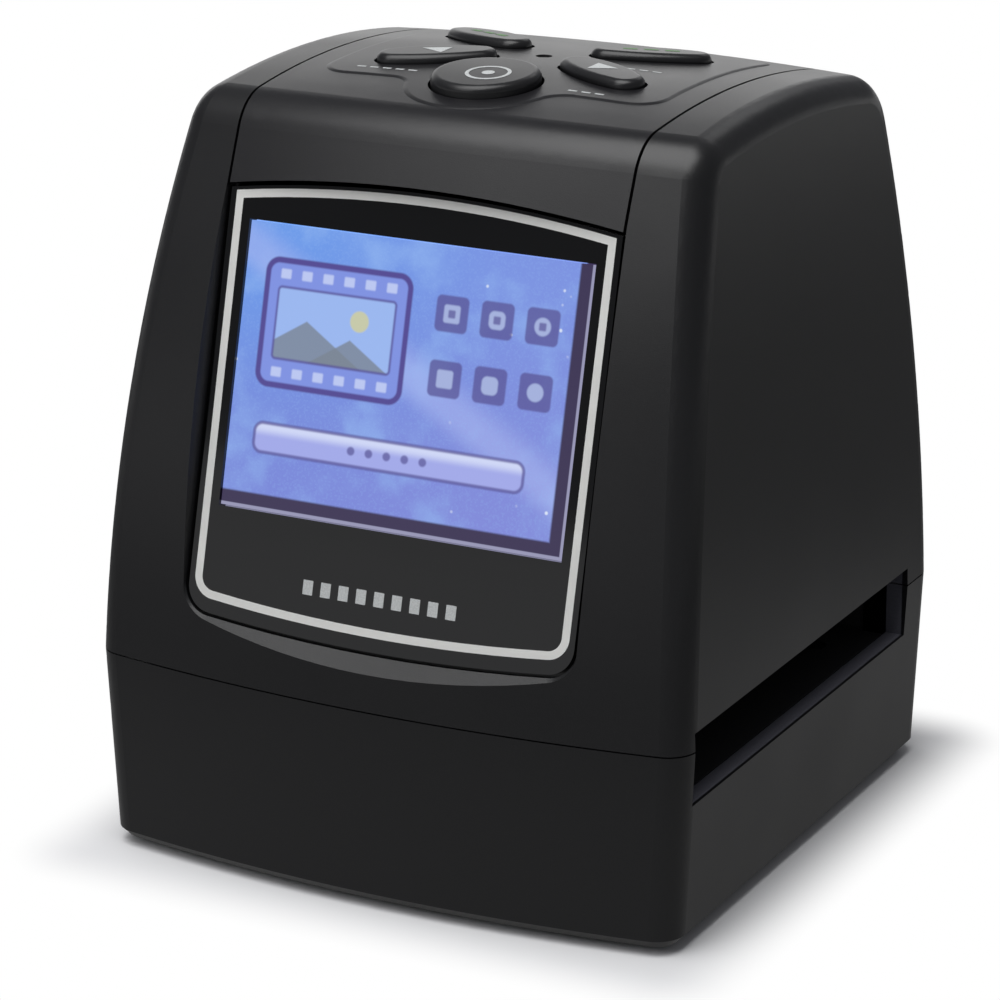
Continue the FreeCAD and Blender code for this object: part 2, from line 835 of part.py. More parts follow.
# Recess in the upper case: straight walls round the plate, and a bevel that opens towards the front
beyond = "plate_high + plate_half"
recess = plate_prism("recess", "-(overrun + wall)", "overrun + wall + plate_thickness + screw_clearance",
                     "plate_half + plate_gap", "plate_low - plate_gap", "plate_corner + plate_gap", beyond)
bevel = new_body("bevel")
bevel_sketches = [plate_outline(bevel, "bevel_%d" % step, "-%d * bevel_reach" % step,
                                "plate_half + plate_gap + %d * bevel_reach * bevel_spread" % step,
                                "plate_low - plate_gap - %d * bevel_reach * bevel_drop" % step,
                                "plate_corner + plate_gap", beyond, "plate_high_radius") for step in (0, 1)]
feature(bevel, "AdditiveLoft", "bevel_loft", bevel_sketches[0]).Sections = [bevel_sketches[1]]
screen_opening = lean(fuse("screen_opening", [recess, bevel]))

# Seat frame behind the plate: a ring that the plate rests on, with side walls out to the shell
seat_block = plate_prism("seat_block", "-wall", "wall + plate_thickness + seat_thickness",
                         "plate_half + seat_margin", "plate_low - seat_margin", "plate_corner + seat_margin",
                         "plate_high - plate_gap")
seat_hole = box("seat_hole", ("-(plate_half - seat_lip)", "plate_half - seat_lip"), ("-overrun", "overrun"),
                ("plate_low + seat_lip + seat_lip", "plate_high - seat_lip - seat_lip"))
seat_ring = lean(cut("seat_ring", seat_block, [seat_hole]))

# Band region: everything between the two long seams of the top cover


def band_region(name, gap):
    """Plan trapezoid carried up through the top; in front it starts higher than at the back."""
    body = new_body(name)
    sketch = sketch_on(body, name + "_plan", "XY_Plane", "band_back_height + " + gap)
    front_half = "(band_front_half - %s)" % gap
    back_half = "(band_back_half - %s)" % gap
    polygon(sketch, [("-" + front_half, "band_front"), (front_half, "band_front"),
                     (back_half, "band_back"), ("-" + back_half, "band_back")])
    feature(body, "Pad", name + "_pad", sketch, Length="side_top_height - band_back_height")
    front = box(name + "_front", ("-section_reach", "section_reach"), ("band_front - overrun", "scan_place"),
                ("band_back_height - overrun", "band_front_height + " + gap))
    return cut(name + "_region", body, [front])


case_band = band_region("case_band", "0")
cover_band = band_region("cover_band", "cover_gap")


# Round-cornered button outline, used for the caps, their flanges and their openings

def petal(name, grow, span, across, along, turn):
    """An oval with tight ends, larger all round by the given amount, carried up between two heights."""
    body = new_body(name)
    sketch = sketch_on(body, name + "_outline", "XY_Plane")
    reach = "(petal_length / 2 - petal_end)"
    end = "(petal_end + %s)" % grow
    half = "(petal_width / 2 + %s)" % grow
    side = "((%s ^ 2 + %s ^ 2 - %s ^ 2) / (2 * (%s - %s)))" % (reach, half, end, half, end)
    right = Vector(value(reach), 0)
    left = Vector(-right.x, 0)
    top_centre = Vector(0, value("%s - %s" % (half, side)))
    low_centre = Vector(0, -top_centre.y)
    corners = [towards(top_centre, value(side), right), towards(top_centre, value(side), left),
               towards(low_centre, value(side), left), towards(low_centre, value(side), right)]
    join(sketch, [arc_about(top_centre, value(side), corners[0], corners[1]),
                  Part.Arc(corners[1], left - Vector(value(end), 0), corners[2]),
                  arc_about(low_centre, value(side), corners[2], corners[3]),
                  Part.Arc(corners[3], right + Vector(value(end), 0), corners[0])], smooth=range(4))
    for curve, radius in enumerate((side, end, side, end)):
        hold(sketch, "Radius", (curve,), radius)
    pin(sketch, 1, 3, "-" + reach, "0")
    pin(sketch, 3, 3, reach, "0")
    feature(body, "Pad", name + "_pad", sketch, Length="(%s) - (%s)" % (span[1], span[0]))
    body.Placement.Rotation = Rotation(Vector(0, 0, 1), value(turn))
    for axis, formula in (("x", across), ("y", along), ("z", span[0])):
        body.setExpression("Placement.Base." + axis, bound(formula))
    return body


# Buttons: centre across, centre along and the turn of the long axis; the scan button is round
buttons = {
    "scan": ("0", "scan_place", None),
    "mirror": ("-front_petal_across", "front_petal_along", "front_petal_turn"),
    "flip": ("front_petal_across", "front_petal_along", "-front_petal_turn"),
    "power": ("-rear_petal_across", "rear_petal_along", "-rear_petal_turn"),
    "menu": ("rear_petal_across", "rear_petal_along", "rear_petal_turn"),
}


def button_block(button, kind, grow, span):
    """The outline of one button carried between two heights, larger all round by the given amount."""
    across, along, turn = buttons[button]
    name = "%s_%s" % (button, kind)
    if turn is None:
        return cylinder(name, "scan_radius + " + grow, span, across, along)
    return petal(name, grow, span, across, along, turn)


def rounded(name, base, radius, chosen):
    """The base with its chosen edges rounded off; the choice is made on each edge's bounding box."""
    doc.recompute()
    made = doc.addObject("Part::Fillet", name)
    made.Base = base
    made.Edges = [(number + 1, radius, radius) for number, edge in enumerate(base.Shape.Edges)
                  if chosen(edge.BoundBox)]
    return made


# Top cover: raised console, screw bosses, button openings and the light hole
console_up = ("ledge_bottom", "side_top_height")
console_ends = ("console_front + console_corner", "console_back - console_corner")
console_block = fuse("console_block", [
    box("console_across", ("-console_half", "console_half"), console_ends, console_up),
    box("console_along", ("console_corner - console_half", "console_half - console_corner"),
        ("console_front", "console_back"), console_up),
    cylinder("console_ring_block", "console_ring", console_up, "0", "scan_place")]
    + [cylinder("console_corner_%d_%d" % (hand, end), "console_corner", console_up,
                "%d * (console_half - console_corner)" % hand, along)
       for hand in (-1, 1) for end, along in enumerate(console_ends)])
console_joined = rounded("console_joined", console_block, value("console_join"), lambda bounds: (
    bounds.XLength + bounds.YLength < value("seam_gap") and abs(bounds.Center.x) < value("console_ring")
    and abs(bounds.Center.y - value("console_front")) < value("seam_gap")))
console_top = common("console_top", console_joined, shifted("console_surface", outer_form, "console_rise"))
console_edged = rounded("console_edged", console_top, value("console_rounding"),
                        lambda bounds: bounds.ZMin > value("ledge_bottom + wall"))
console = cut("console", console_edged, [shifted("console_under", outer_form, "-console_skin")])
lip_clearance = lean(plate_prism("lip_clearance", "-(overrun + wall)", "overrun + wall + overrun + wall",
                                 "band_back_half + wall", "plate_low", "plate_corner", "lip_high"))
cover_skin = cut("cover_skin", common("cover_block", outer_form, cover_band), [inner_form, lip_clearance])
boss_places = [("%d * boss_across" % hand, along) for hand in (-1, 1) for along in ("boss_front", "boss_back")]
cover_bosses = common("cover_bosses", group("cover_boss_set", [
    cylinder("cover_boss_%d" % number, "boss_radius", ("button_board_top", "side_top_height"), across, along)
    for number, (across, along) in enumerate(boss_places)]),
    shifted("boss_limit", outer_form, "-boss_sink"))
cover_tools = [button_block(button, "opening", "cap_clearance",
                            ("ledge_bottom", "side_top_height + overrun")) for button in buttons]
cover_tools.append(cylinder("light_opening", "light_radius + light_clearance",
                            ("ledge_bottom", "side_top_height + overrun"), "0", "light_place"))
cover_tools += [cylinder("board_bore_%d" % number, "screw_radius + screw_clearance",
                         ("button_board_top - overrun", "button_board_top + screw_reach + screw_clearance"),
                         across, along) for number, (across, along) in enumerate(boss_places)]
keep(cut("top_cover_solid", fuse("cover_solid", [cover_skin, console, cover_bosses]), cover_tools),
     "top_cover")

# Button caps: domed top a little proud of the cover, flange under the cover, stem down to the plunger
cap_low = "flange_top - flange_thickness"
plunger_top = "button_board_top + switch_height + plunger_rise"
for button, (across, along, turn) in buttons.items():
    rise = "scan_rise" if turn is None else "petal_rise"
    block = button_block(button, "block", "0", (cap_low, "side_top_height + overrun"))
    dome = common(button + "_dome", block, shifted(button + "_surface", outer_form, rise))
    soft = rounded(button + "_soft", dome, value("cap_rounding"),
                   lambda bounds: bounds.ZMin > value("flange_top"))
    flange = button_block(button, "flange", "flange_lip", (cap_low, "flange_top"))
    stem = cylinder(button + "_stem", "cap_stem_radius", (plunger_top, "flange_top"), across, along)
    keep(fuse(button + "_cap", [soft, flange, stem]), button + "_button")

# Button board with its switches, sprung plungers and the indicator
board_bottom = "button_board_top - board_thickness"
board_holes = [cylinder("board_hole_%d" % number, "screw_radius + screw_clearance",
                        (board_bottom + " - overrun", "button_board_top + overrun"), across, along)
               for number, (across, along) in enumerate(boss_places)]
keep(cut("button_board_solid", box("button_board_blank", ("-button_board_half", "button_board_half"),
                                   ("button_board_front", "button_board_back"),
                                   (board_bottom, "button_board_top")), board_holes), "button_board")
switch_top = "button_board_top + switch_height"
switches = []
for button, (across, along, turn) in buttons.items():
    body = box(button + "_switch", ("%s - switch_half" % across, "%s + switch_half" % across),
               ("%s - switch_half" % along, "%s + switch_half" % along), ("button_board_top", switch_top))
    bore = cylinder(button + "_switch_bore", "plunger_radius + plunger_clearance",
                    (switch_top + " - plunger_sink - travel - plunger_clearance", switch_top + " + overrun"),
                    across, along)
    switches.append(cut(button + "_switch_body", body, [bore]))
    keep(cylinder(button + "_plunger_pin", "plunger_radius", (switch_top + " - plunger_sink", plunger_top),
                  across, along), button + "_plunger")
keep(group("switch_group", switches), "tact_switches")
keep(box("status_diode", ("-diode_half", "diode_half"),
         ("light_place - diode_half", "light_place + diode_half"),
         ("button_board_top", "button_board_top + diode_height")), "status_led")
pipe_low = "button_board_top + diode_height + light_clearance"
keep(fuse("light_guide", [
    cylinder("light_rod", "light_radius", (pipe_low, "top_apex - light_sink"), "0", "light_place"),
    cylinder("light_collar", "light_flange", ("flange_top - flange_thickness", "flange_top"), "0",
             "light_place")]), "light_pipe")

# Upper case: skin without the band, seat for the plate, ledges, wall bosses, front hooks and rear sockets
case_skin = cut("case_skin", outer_form, [inner_form, case_band])
case_seat = common("case_seat", seat_ring, outer_form)
ledge_along = ("ledge_front", "ledge_back")
ledge_up = ("ledge_bottom", "side_top_height")
ledge_inner = common("ledge_inner", fuse("ledge_inner_blocks", flat_pair(
    "ledge_strip", ("band_front_half - ledge_width", "band_back_half + wall"), ledge_along, ledge_up)),
    shifted("ledge_limit", inner_form, "-ledge_gap"))
ledge_outer = common("ledge_outer", fuse("ledge_outer_blocks", flat_pair(
    "ledge_root", ("band_back_half", "band_back_half + wall"), ledge_along, ledge_up) + [
    box("ledge_rear", ("-ledge_rear_half", "ledge_rear_half"),
        ("half_depth - wall - ledge_depth - back_bend / 2", "half_depth"),
        ("band_back_height - ledge_depth", "band_back_height"))]), outer_form)
case_sills = common("case_sills", sills, outer_form)
upper_bosses = [cylinder("upper_boss_%d" % number, "case_boss_radius", ("seam_height", "case_boss_top"),
                         across, along) for number, (across, along) in enumerate(screw_places)]
upper_ribs = common("upper_ribs", fuse("upper_rib_pair", flat_pair(
    "upper_rib", ("case_screw_across - screw_radius", "case_screw_across + screw_radius"),
    ("case_screw_along + screw_radius", "half_depth"), ("seam_height + seam_gap", "case_boss_top"))),
    outer_form)
hook_centres = ["%d * hook_across" % hand for hand in (-1, 1)]
hook_back = "hook_clearance - half_depth + wall + front_bulge / 2"
hook_list = []
for number, middle in enumerate(hook_centres):
    across = (middle + " - hook_half", middle + " + hook_half")
    block = box("hook_block_%d" % number, across, ("-half_depth", hook_back),
                ("seam_height + seam_gap", "seam_height + hook_rise"))
    hook_list.append(common("hook_root_%d" % number, block, outer_form))
    hook_list.append(box("hook_tongue_%d" % number, across, (hook_back + " - hook_thickness", hook_back),
                         ("seam_height - hook_drop", "seam_height + hook_rise")))
main_outer = "main_board_inner + main_board_thickness"
main_places = [("main_screw_front", "main_screw_low"), ("main_screw_front", "main_screw_high"),
               ("main_screw_rear", "main_screw_low"), ("main_screw_middle", "main_screw_high")]
main_bosses = common("main_bosses", group("main_boss_set", [
    cylinder("main_boss_%d" % number, "main_boss_radius", (main_outer, "section_reach"), along, up, axis="x")
    for number, (along, up) in enumerate(main_places)]), outer_form)
main_bores = [cylinder("main_bore_%d" % number, "screw_radius + screw_clearance",
                       ("main_board_inner - overrun", main_outer + " + screw_reach + screw_clearance"),
                       along, up, axis="x") for number, (along, up) in enumerate(main_places)]
card_middle = "main_board_inner - card_thickness / 2"
card_low = "card_low + card_slot_margin"
card_high = "card_high - card_slot_margin"
card_opening = box("card_opening", (card_middle + " - card_slot / 2 - port_clearance",
                                    card_middle + " + card_slot / 2 + port_clearance"),
                   ("card_back - wall", "half_depth + overrun"),
                   (card_low + " - port_clearance", card_high + " + port_clearance"))
usb_opening = box("usb_opening", ("main_board_inner - usb_thickness - port_clearance",
                                  "main_board_inner + port_clearance"),
                  ("usb_back - wall", "half_depth + overrun"),
                  ("usb_low - port_clearance", "usb_high + port_clearance"))
video_across = "main_board_inner - video_half"
video_opening = cylinder("video_opening", "video_collar + port_clearance",
                         ("video_back", "half_depth + overrun"), video_across, "video_place", axis="y")
upper_solid = fuse("upper_solid", [case_skin, case_seat, ledge_inner, ledge_outer, case_sills, upper_ribs,
                                   main_bosses] + upper_bosses + hook_list)
upper_tools = [screen_opening, slot, card_opening, usb_opening, video_opening] + screw_bores + main_bores
keep(cut("upper_case_solid", upper_solid, upper_tools), "upper_case")

# Screen plate with its window, and the silver line inlaid round it
plate_block = plate_prism("plate_block", "0", "plate_thickness", "plate_half", "plate_low", "plate_corner",
                          "plate_high")
trim_block = plate_prism("trim_block", "0", "trim_depth", "trim_half", "trim_low", "trim_corner",
                         "trim_high")
trim_core = plate_prism("trim_core", "-overrun", "overrun + trim_depth + wall", "trim_half - trim_width",
                        "trim_low + trim_width", "trim_corner - trim_width", "trim_high - trim_width")
trim_ring = cut("trim_ring", trim_block, [trim_core])
window = box("window", ("-window_half", "window_half"), ("-overrun", "overrun"),
             ("window_low", "window_high"))
keep(lean(cut("plate_solid", plate_block, [window, trim_ring])), "display_plate")
keep(lean(group("trim_line", [trim_ring])), "plate_trim")

# Screen module: glass that fills the window, soft seal, backlight and a metal tray behind
glass_front = box("glass_front", ("glass_gap - window_half", "window_half - glass_gap"),
                  ("glass_sink", "panel_front"), ("window_low + glass_gap", "window_high - glass_gap"))
glass_body = box("glass_body", ("-panel_half", "panel_half"), ("panel_front", "panel_back"),
                 ("panel_low", "panel_high"))
keep(lean(fuse("panel", [glass_front, glass_body])), "lcd_panel")
seal_block = box("seal_block", ("-panel_half", "panel_half"), ("plate_thickness", "panel_front"),
                 ("panel_low", "panel_high"))
seal_hole = box("seal_hole", ("gasket_border - panel_half", "panel_half - gasket_border"),
                ("-overrun", "overrun"), ("panel_low + gasket_border", "panel_high - gasket_border"))
keep(lean(cut("seal", seal_block, [seal_hole])), "lcd_gasket")
light_sheet = box("backlight_block", ("-panel_half", "panel_half"), ("panel_back", "backlight_back"),
                  ("panel_low", "panel_high"))
keep(lean(group("backlight_sheet", [light_sheet])), "backlight")
tray_front = "plate_thickness + seat_thickness + display_frame_gap"
tray_block = box("tray_block", ("seat_lip - display_frame_half", "display_frame_half - seat_lip"),
                 (tray_front, "display_frame_back"),
                 ("display_frame_low + seat_lip", "display_frame_high - seat_lip / 2"))
tray_flange = box("tray_flange", ("-display_frame_half", "display_frame_half"),
                  (tray_front, tray_front + " + display_flange"), ("display_frame_low", "display_frame_high"))
tray_pocket = box("tray_pocket", ("-panel_half - display_frame_gap", "panel_half + display_frame_gap"),
                  ("-overrun", "backlight_back + display_frame_gap"),
                  ("panel_low - display_frame_gap", "panel_high + display_frame_gap"))
keep(lean(cut("tray", fuse("tray_solid", [tray_block, tray_flange]), [tray_pocket])), "lcd_frame")

# Film bed under the film, with a light window, guide rails in front and behind, and flush screws
bed_plan = [box("bed_middle", ("-bed_half", "bed_half"), ("bed_end_front", "bed_end_back"),
                (bed_bottom, "slot_bottom")),
            box("bed_deep", ("-rail_half", "rail_half"), ("rail_front", "rail_back"),
                (bed_bottom, "slot_bottom")),
            box("rail_front_bar", ("-rail_half", "rail_half"), ("rail_front", "slot_front - rail_gap"),
                (bed_bottom, "slot_top")),
            box("rail_back_bar", ("-rail_half", "rail_half"), ("slot_back + rail_gap", "rail_back"),
                (bed_bottom, "slot_top"))]
bed_window = box("bed_window", ("-bed_window_across", "bed_window_across"),
                 ("gate_place - bed_window_along", "gate_place + bed_window_along"),
                 (bed_bottom + " - overrun", "slot_bottom + overrun"))
bed_sinks = [cylinder("bed_sink_%d" % number, "screw_head_radius + screw_clearance",
                      ("slot_bottom - screw_head_height", "slot_bottom + overrun"), across, along)
             for number, (across, along) in enumerate(bed_places)]
keep(cut("bed_solid", fuse("bed_blank", bed_plan), [bed_window] + bed_pilots + bed_sinks), "film_bed")

# Light below the film: lamp board on posts, six lamps, a white box and a diffuser
lamp_board_top = "lamp_board_bottom + board_thickness"
lamp_holes = [cylinder("lamp_hole_%d" % number, "screw_radius + screw_clearance",
                       ("lamp_board_bottom - overrun", lamp_board_top + " + overrun"), across, along)
              for number, (across, along) in enumerate(lamp_places)]
keep(cut("lamp_board", box("lamp_board_blank", ("-lamp_board_across", "lamp_board_across"),
                           ("gate_place - lamp_board_along", "lamp_board_back"),
                           ("lamp_board_bottom", lamp_board_top)), lamp_holes), "led_board")
lamp_centres = [("%d * lamp_pitch_across" % column, "gate_place + %d * lamp_pitch_along / 2" % row)
                for column in (-1, 0, 1) for row in (-1, 1)]
keep(group("lamp_group", [box("lamp_%d" % number, (across + " - lamp_half", across + " + lamp_half"),
                              (along + " - lamp_half", along + " + lamp_half"),
                              (lamp_board_top, lamp_board_top + " + lamp_height"))
                          for number, (across, along) in enumerate(lamp_centres)]), "lamp_leds")
box_across = "diffuser_across + light_box_rim"
box_along = "diffuser_along + light_box_rim"
diffuser_low = bed_bottom + " - diffuser_thickness"
box_front = "gate_place - (%s)" % box_along
box_back = "gate_place + " + box_along
light_outer = box("light_outer", ("-(%s)" % box_across, box_across), (box_front, box_back),
                  (lamp_board_top, diffuser_low))
light_inner = box("light_inner", ("light_box_wall - (%s)" % box_across, box_across + " - light_box_wall"),
                  (box_front + " + light_box_wall", box_back + " - light_box_wall"),
                  ("-overrun", "slot_bottom"))
keep(cut("light_walls", light_outer, [light_inner]), "light_box")
keep(box("diffuser_sheet", ("-diffuser_across", "diffuser_across"),
         ("gate_place - diffuser_along", "gate_place + diffuser_along"), (diffuser_low, bed_bottom)),
     "diffuser")

# Gate plate above the film, with the picture window
gate_top = "slot_top + gate_thickness"
gate_screws = [("%d * gate_screw_across" % hand, "gate_place + %d * gate_screw_along" % side)
               for hand in (-1, 1) for side in (-1, 1)]
gate_window = box("gate_window", ("-gate_window_across", "gate_window_across"),
                  ("gate_place - gate_window_along", "gate_place + gate_window_along"),
                  ("slot_top - overrun", gate_top + " + overrun"))
gate_bores = [cylinder("gate_bore_%d" % number, "screw_radius + screw_clearance",
                       (gate_top + " + shroud_flange - gate_screw_reach - screw_clearance",
                        gate_top + " + shroud_flange + overrun"), across, along)
              for number, (across, along) in enumerate(gate_screws)]
keep(cut("gate_solid", box("gate_blank", ("-gate_half", "gate_half"), ("rail_front", "rail_back"),
                           ("slot_top", gate_top)), [gate_window] + gate_bores), "gate_plate")


# Dark shroud that narrows from the gate up to the lens

def taper(name, inset, low, high):
    """A four-sided tapering block on the camera's centre line."""
    body = new_body(name)
    outlines = []
    for step, (height, half_across, half_along) in enumerate((
            (low, "shroud_low_across", "shroud_low_along"),
            (high, "shroud_high_across", "shroud_high_along"))):
        sketch = sketch_on(body, "%s_%d" % (name, step), "XY_Plane", height)
        rectangle(sketch, ("%s - %s" % (inset, half_across), "%s - %s" % (half_across, inset)),
                  ("gate_place - %s + %s" % (half_along, inset),
                   "gate_place + %s - %s" % (half_along, inset)))
        outlines.append(sketch)
    feature(body, "AdditiveLoft", name + "_loft", outlines[0]).Sections = [outlines[1]]
    return body


flange_high = gate_top + " + shroud_flange"
cap_under = "shroud_top - shroud_cap"
shroud_outer = taper("shroud_outer", "0", gate_top, cap_under)
shroud_inner = taper("shroud_inner", "shroud_wall", gate_top + " - seam_gap", cap_under)
shroud_foot = box("shroud_foot", ("-shroud_flange_across", "shroud_flange_across"),
                  ("gate_place - shroud_flange_along", "gate_place + shroud_flange_along"),
                  (gate_top, flange_high))
shroud_lid = box("shroud_lid", ("-shroud_cap_half", "shroud_cap_half"),
                 ("gate_place - shroud_cap_half", "gate_place + shroud_cap_half"), (cap_under, "shroud_top"))
shroud_bore = cylinder("shroud_bore", "lens_hole", (cap_under + " - overrun", "shroud_top + overrun"),
                       "0", "gate_place")
keep(cut("shroud", fuse("shroud_solid", [shroud_outer, shroud_foot, shroud_lid]),
         [shroud_inner, shroud_bore] + gate_bores), "light_shroud")

# Lens holder with four pillars for the sensor board
pillar_places = [("%d * pillar_place" % hand, "gate_place + %d * pillar_place" % side)
                 for hand in (-1, 1) for side in (-1, 1)]
holder_blank = fuse("holder_blank", [
    box("holder_base", ("-shroud_cap_half", "shroud_cap_half"),
        ("gate_place - shroud_cap_half", "gate_place + shroud_cap_half"),
        ("shroud_top", "shroud_top + holder_flange")),
    cylinder("holder_tube", "holder_radius", ("shroud_top", "holder_shoulder"), "0", "gate_place"),
    box("holder_head", ("-holder_half", "holder_half"),
        ("gate_place - holder_half", "gate_place + holder_half"),
        ("holder_shoulder - holder_wall", "holder_top"))]
    + [cylinder("pillar_%d" % number, "pillar_radius", ("shroud_top", "holder_top"), across, along)
       for number, (across, along) in enumerate(pillar_places)])
holder_tools = [
    cylinder("barrel_seat", "barrel_radius + holder_clearance",
             ("shroud_top - overrun", "barrel_top + screw_clearance"), "0", "gate_place"),
    cylinder("throat", "holder_throat", ("shroud_top", "holder_top"), "0", "gate_place"),
    box("sensor_cavity", ("holder_wall - holder_half", "holder_half - holder_wall"),
        ("gate_place - holder_half + holder_wall", "gate_place + holder_half - holder_wall"),
        ("holder_shoulder", "holder_top + overrun"))]
pillar_bores = [cylinder("pillar_bore_%d" % number, "screw_radius + screw_clearance",
                         ("holder_top - screw_reach - screw_clearance", "holder_top + overrun"), across, along)
                for number, (across, along) in enumerate(pillar_places)]
keep(cut("holder", holder_blank, holder_tools + pillar_bores), "lens_holder")

# Lens barrel and its two glass elements
barrel_blank = cylinder("barrel_blank", "barrel_radius", ("barrel_bottom", "barrel_top"), "0", "gate_place")
barrel_hole = cylinder("barrel_hole", "barrel_bore", ("barrel_bottom - overrun", "barrel_top + overrun"), "0",
                       "gate_place")
keep(cut("barrel", barrel_blank, [barrel_hole]), "lens_barrel")


def ball(name, middle):
    made = doc.addObject("Part::Sphere", name)
    made.setExpression("Radius", "sizes.lens_sphere")
    made.setExpression("Placement.Base.y", "sizes.gate_place")
    made.setExpression("Placement.Base.z", bound(middle))
    return made


elements = []
for number, place in enumerate(("lens_low", "lens_high")):
    halves = common("lens_balls_%d" % number,
                    ball("lens_ball_low_%d" % number, place + " + lens_thickness / 2 - lens_sphere"),
                    ball("lens_ball_high_%d" % number, place + " - lens_thickness / 2 + lens_sphere"))
    rim = cylinder("lens_rim_%d" % number, "barrel_bore",
                   (place + " - lens_thickness", place + " + lens_thickness"), "0", "gate_place")
    elements.append(common("lens_%d" % number, halves, rim))
keep(group("lens_elements", elements), "lens_glass")

# Filter, sensor and its board
keep(box("filter_sheet", ("-filter_half", "filter_half"),
         ("gate_place - filter_half", "gate_place + filter_half"),
         ("holder_shoulder", "holder_shoulder + filter_thickness")), "ir_filter")
keep(box("sensor_block", ("-sensor_half_across", "sensor_half_across"),
         ("gate_place - sensor_half_along", "gate_place + sensor_half_along"),
         ("holder_top - sensor_thickness", "holder_top")), "image_sensor")
sensor_top = "holder_top + board_thickness"
sensor_holes = [cylinder("sensor_hole_%d" % number, "screw_radius + screw_clearance",
                         ("holder_top - overrun", sensor_top + " + overrun"), across, along)
                for number, (across, along) in enumerate(pillar_places)]
keep(cut("sensor_board_solid", box("sensor_board_blank", ("-sensor_board_half", "sensor_board_half"),
                                   ("gate_place - sensor_board_half", "gate_place + sensor_board_half"),
                                   ("holder_top", sensor_top)), sensor_holes), "sensor_board")

# Main board upright at the right wall, its chips and the three sockets that open through the back
keep(cut("main_board_solid", box("main_board_blank", ("main_board_inner", main_outer),
                                 ("main_board_front", "main_board_back"),
                                 ("main_board_low", "main_board_high")), main_bores), "main_board")
chip_side = ("main_board_inner - chip_height", "main_board_inner")
keep(group("chip_group", [
    box("processor", chip_side, ("chip_front", "chip_front + chip_width"),
        ("chip_low", "chip_low + chip_width")),
    box("memory", chip_side, ("chip_front", "chip_front + memory_width"),
        ("memory_low", "memory_low + memory_height"))]), "main_chips")
card_block = box("card_block", ("main_board_inner - card_thickness", "main_board_inner"),
                 ("card_front", "card_back"), ("card_low", "card_high"))
card_slot = box("card_slot_space", (card_middle + " - card_slot / 2", card_middle + " + card_slot / 2"),
                ("card_back - card_slot_depth", "card_back + overrun"), (card_low, card_high))
keep(cut("card_shell", card_block, [card_slot]), "card_socket")
usb_block = box("usb_block", ("main_board_inner - usb_thickness", "main_board_inner"),
                ("usb_front", "usb_back"), ("usb_low", "usb_high"))
usb_space = box("usb_space", ("main_board_inner - usb_thickness + usb_wall", "main_board_inner - usb_wall"),
                ("usb_back - usb_depth", "usb_back + overrun"),
                ("usb_low + usb_wall", "usb_high - usb_wall"))
usb_middle = "main_board_inner - usb_thickness / 2"
usb_tongue = box("usb_tongue", (usb_middle + " - usb_wall", usb_middle + " + usb_wall"),
                 ("usb_back - usb_depth - usb_wall", "usb_back - usb_wall"),
                 ("usb_low + usb_thickness / 2", "usb_high - usb_thickness / 2"))
keep(fuse("usb_shell", [cut("usb_case", usb_block, [usb_space]), usb_tongue]), "usb_socket")
video_block = box("video_block", (video_across + " - video_half", "main_board_inner"),
                  ("video_front", "video_back"), ("video_place - video_half", "video_place + video_half"))
video_neck = cylinder("video_neck", "video_collar", ("video_front", "video_back + video_collar_length"),
                      video_across, "video_place", axis="y")
video_bore = cylinder("video_bore_hole", "video_bore",
                      ("video_back + video_collar_length - video_depth", "half_depth"), video_across,
                      "video_place", axis="y")
keep(cut("video_jack", fuse("video_solid", [video_block, video_neck]), [video_bore]), "av_jack")


# Screws: a round head and a plain shank

def screw(name, head, shank, first, second, axis="z", head_radius="screw_head_radius"):
    return fuse(name, [cylinder(name + "_head", head_radius, head, first, second, axis),
                       cylinder(name + "_shank", "screw_radius", shank, first, second, axis)])


keep(group("case_screw_pair", [
    screw("case_screw_%d" % number, ("case_bottom + foot_clearance", "case_bottom + case_head_height"),
          ("case_bottom + foot_clearance", "case_screw_top"), across, along, head_radius="case_head_radius")
    for number, (across, along) in enumerate(screw_places)]), "case_screws")
head = "screw_head_height"
bed_screws = [screw("bed_screw_%d" % number, ("slot_bottom - " + head, "slot_bottom"),
                    ("slot_bottom - %s - screw_reach + screw_clearance" % head, "slot_bottom"), across, along)
              for number, (across, along) in enumerate(bed_places)]
lamp_screws = [screw("lamp_screw_%d" % number, (lamp_board_top, lamp_board_top + " + " + head),
                     ("lamp_board_bottom", lamp_board_top + " + " + head), across, along)
               for number, (across, along) in enumerate(lamp_places)]
gate_screw_list = [screw("gate_screw_%d" % number, (flange_high, flange_high + " + " + head),
                         (flange_high + " - gate_screw_reach", flange_high + " + " + head), across, along)
                   for number, (across, along) in enumerate(gate_screws)]
sensor_screws = [screw("sensor_screw_%d" % number, (sensor_top, sensor_top + " + " + head),
                       ("holder_top - screw_reach", sensor_top + " + " + head), across, along)
                 for number, (across, along) in enumerate(pillar_places)]
cover_screws = [screw("cover_screw_%d" % number, (board_bottom + " - " + head, board_bottom),
                      (board_bottom + " - " + head, "button_board_top + screw_reach"), across, along)
                for number, (across, along) in enumerate(boss_places)]
main_screws = [screw("main_screw_%d" % number, ("main_board_inner - " + head, "main_board_inner"),
                     ("main_board_inner - " + head, main_outer + " + screw_reach"), along, up, axis="x")
               for number, (along, up) in enumerate(main_places)]
keep(group("board_screw_group", lamp_screws + sensor_screws + cover_screws + main_screws), "board_screws")
keep(group("guide_screw_group", bed_screws + gate_screw_list), "guide_screws")

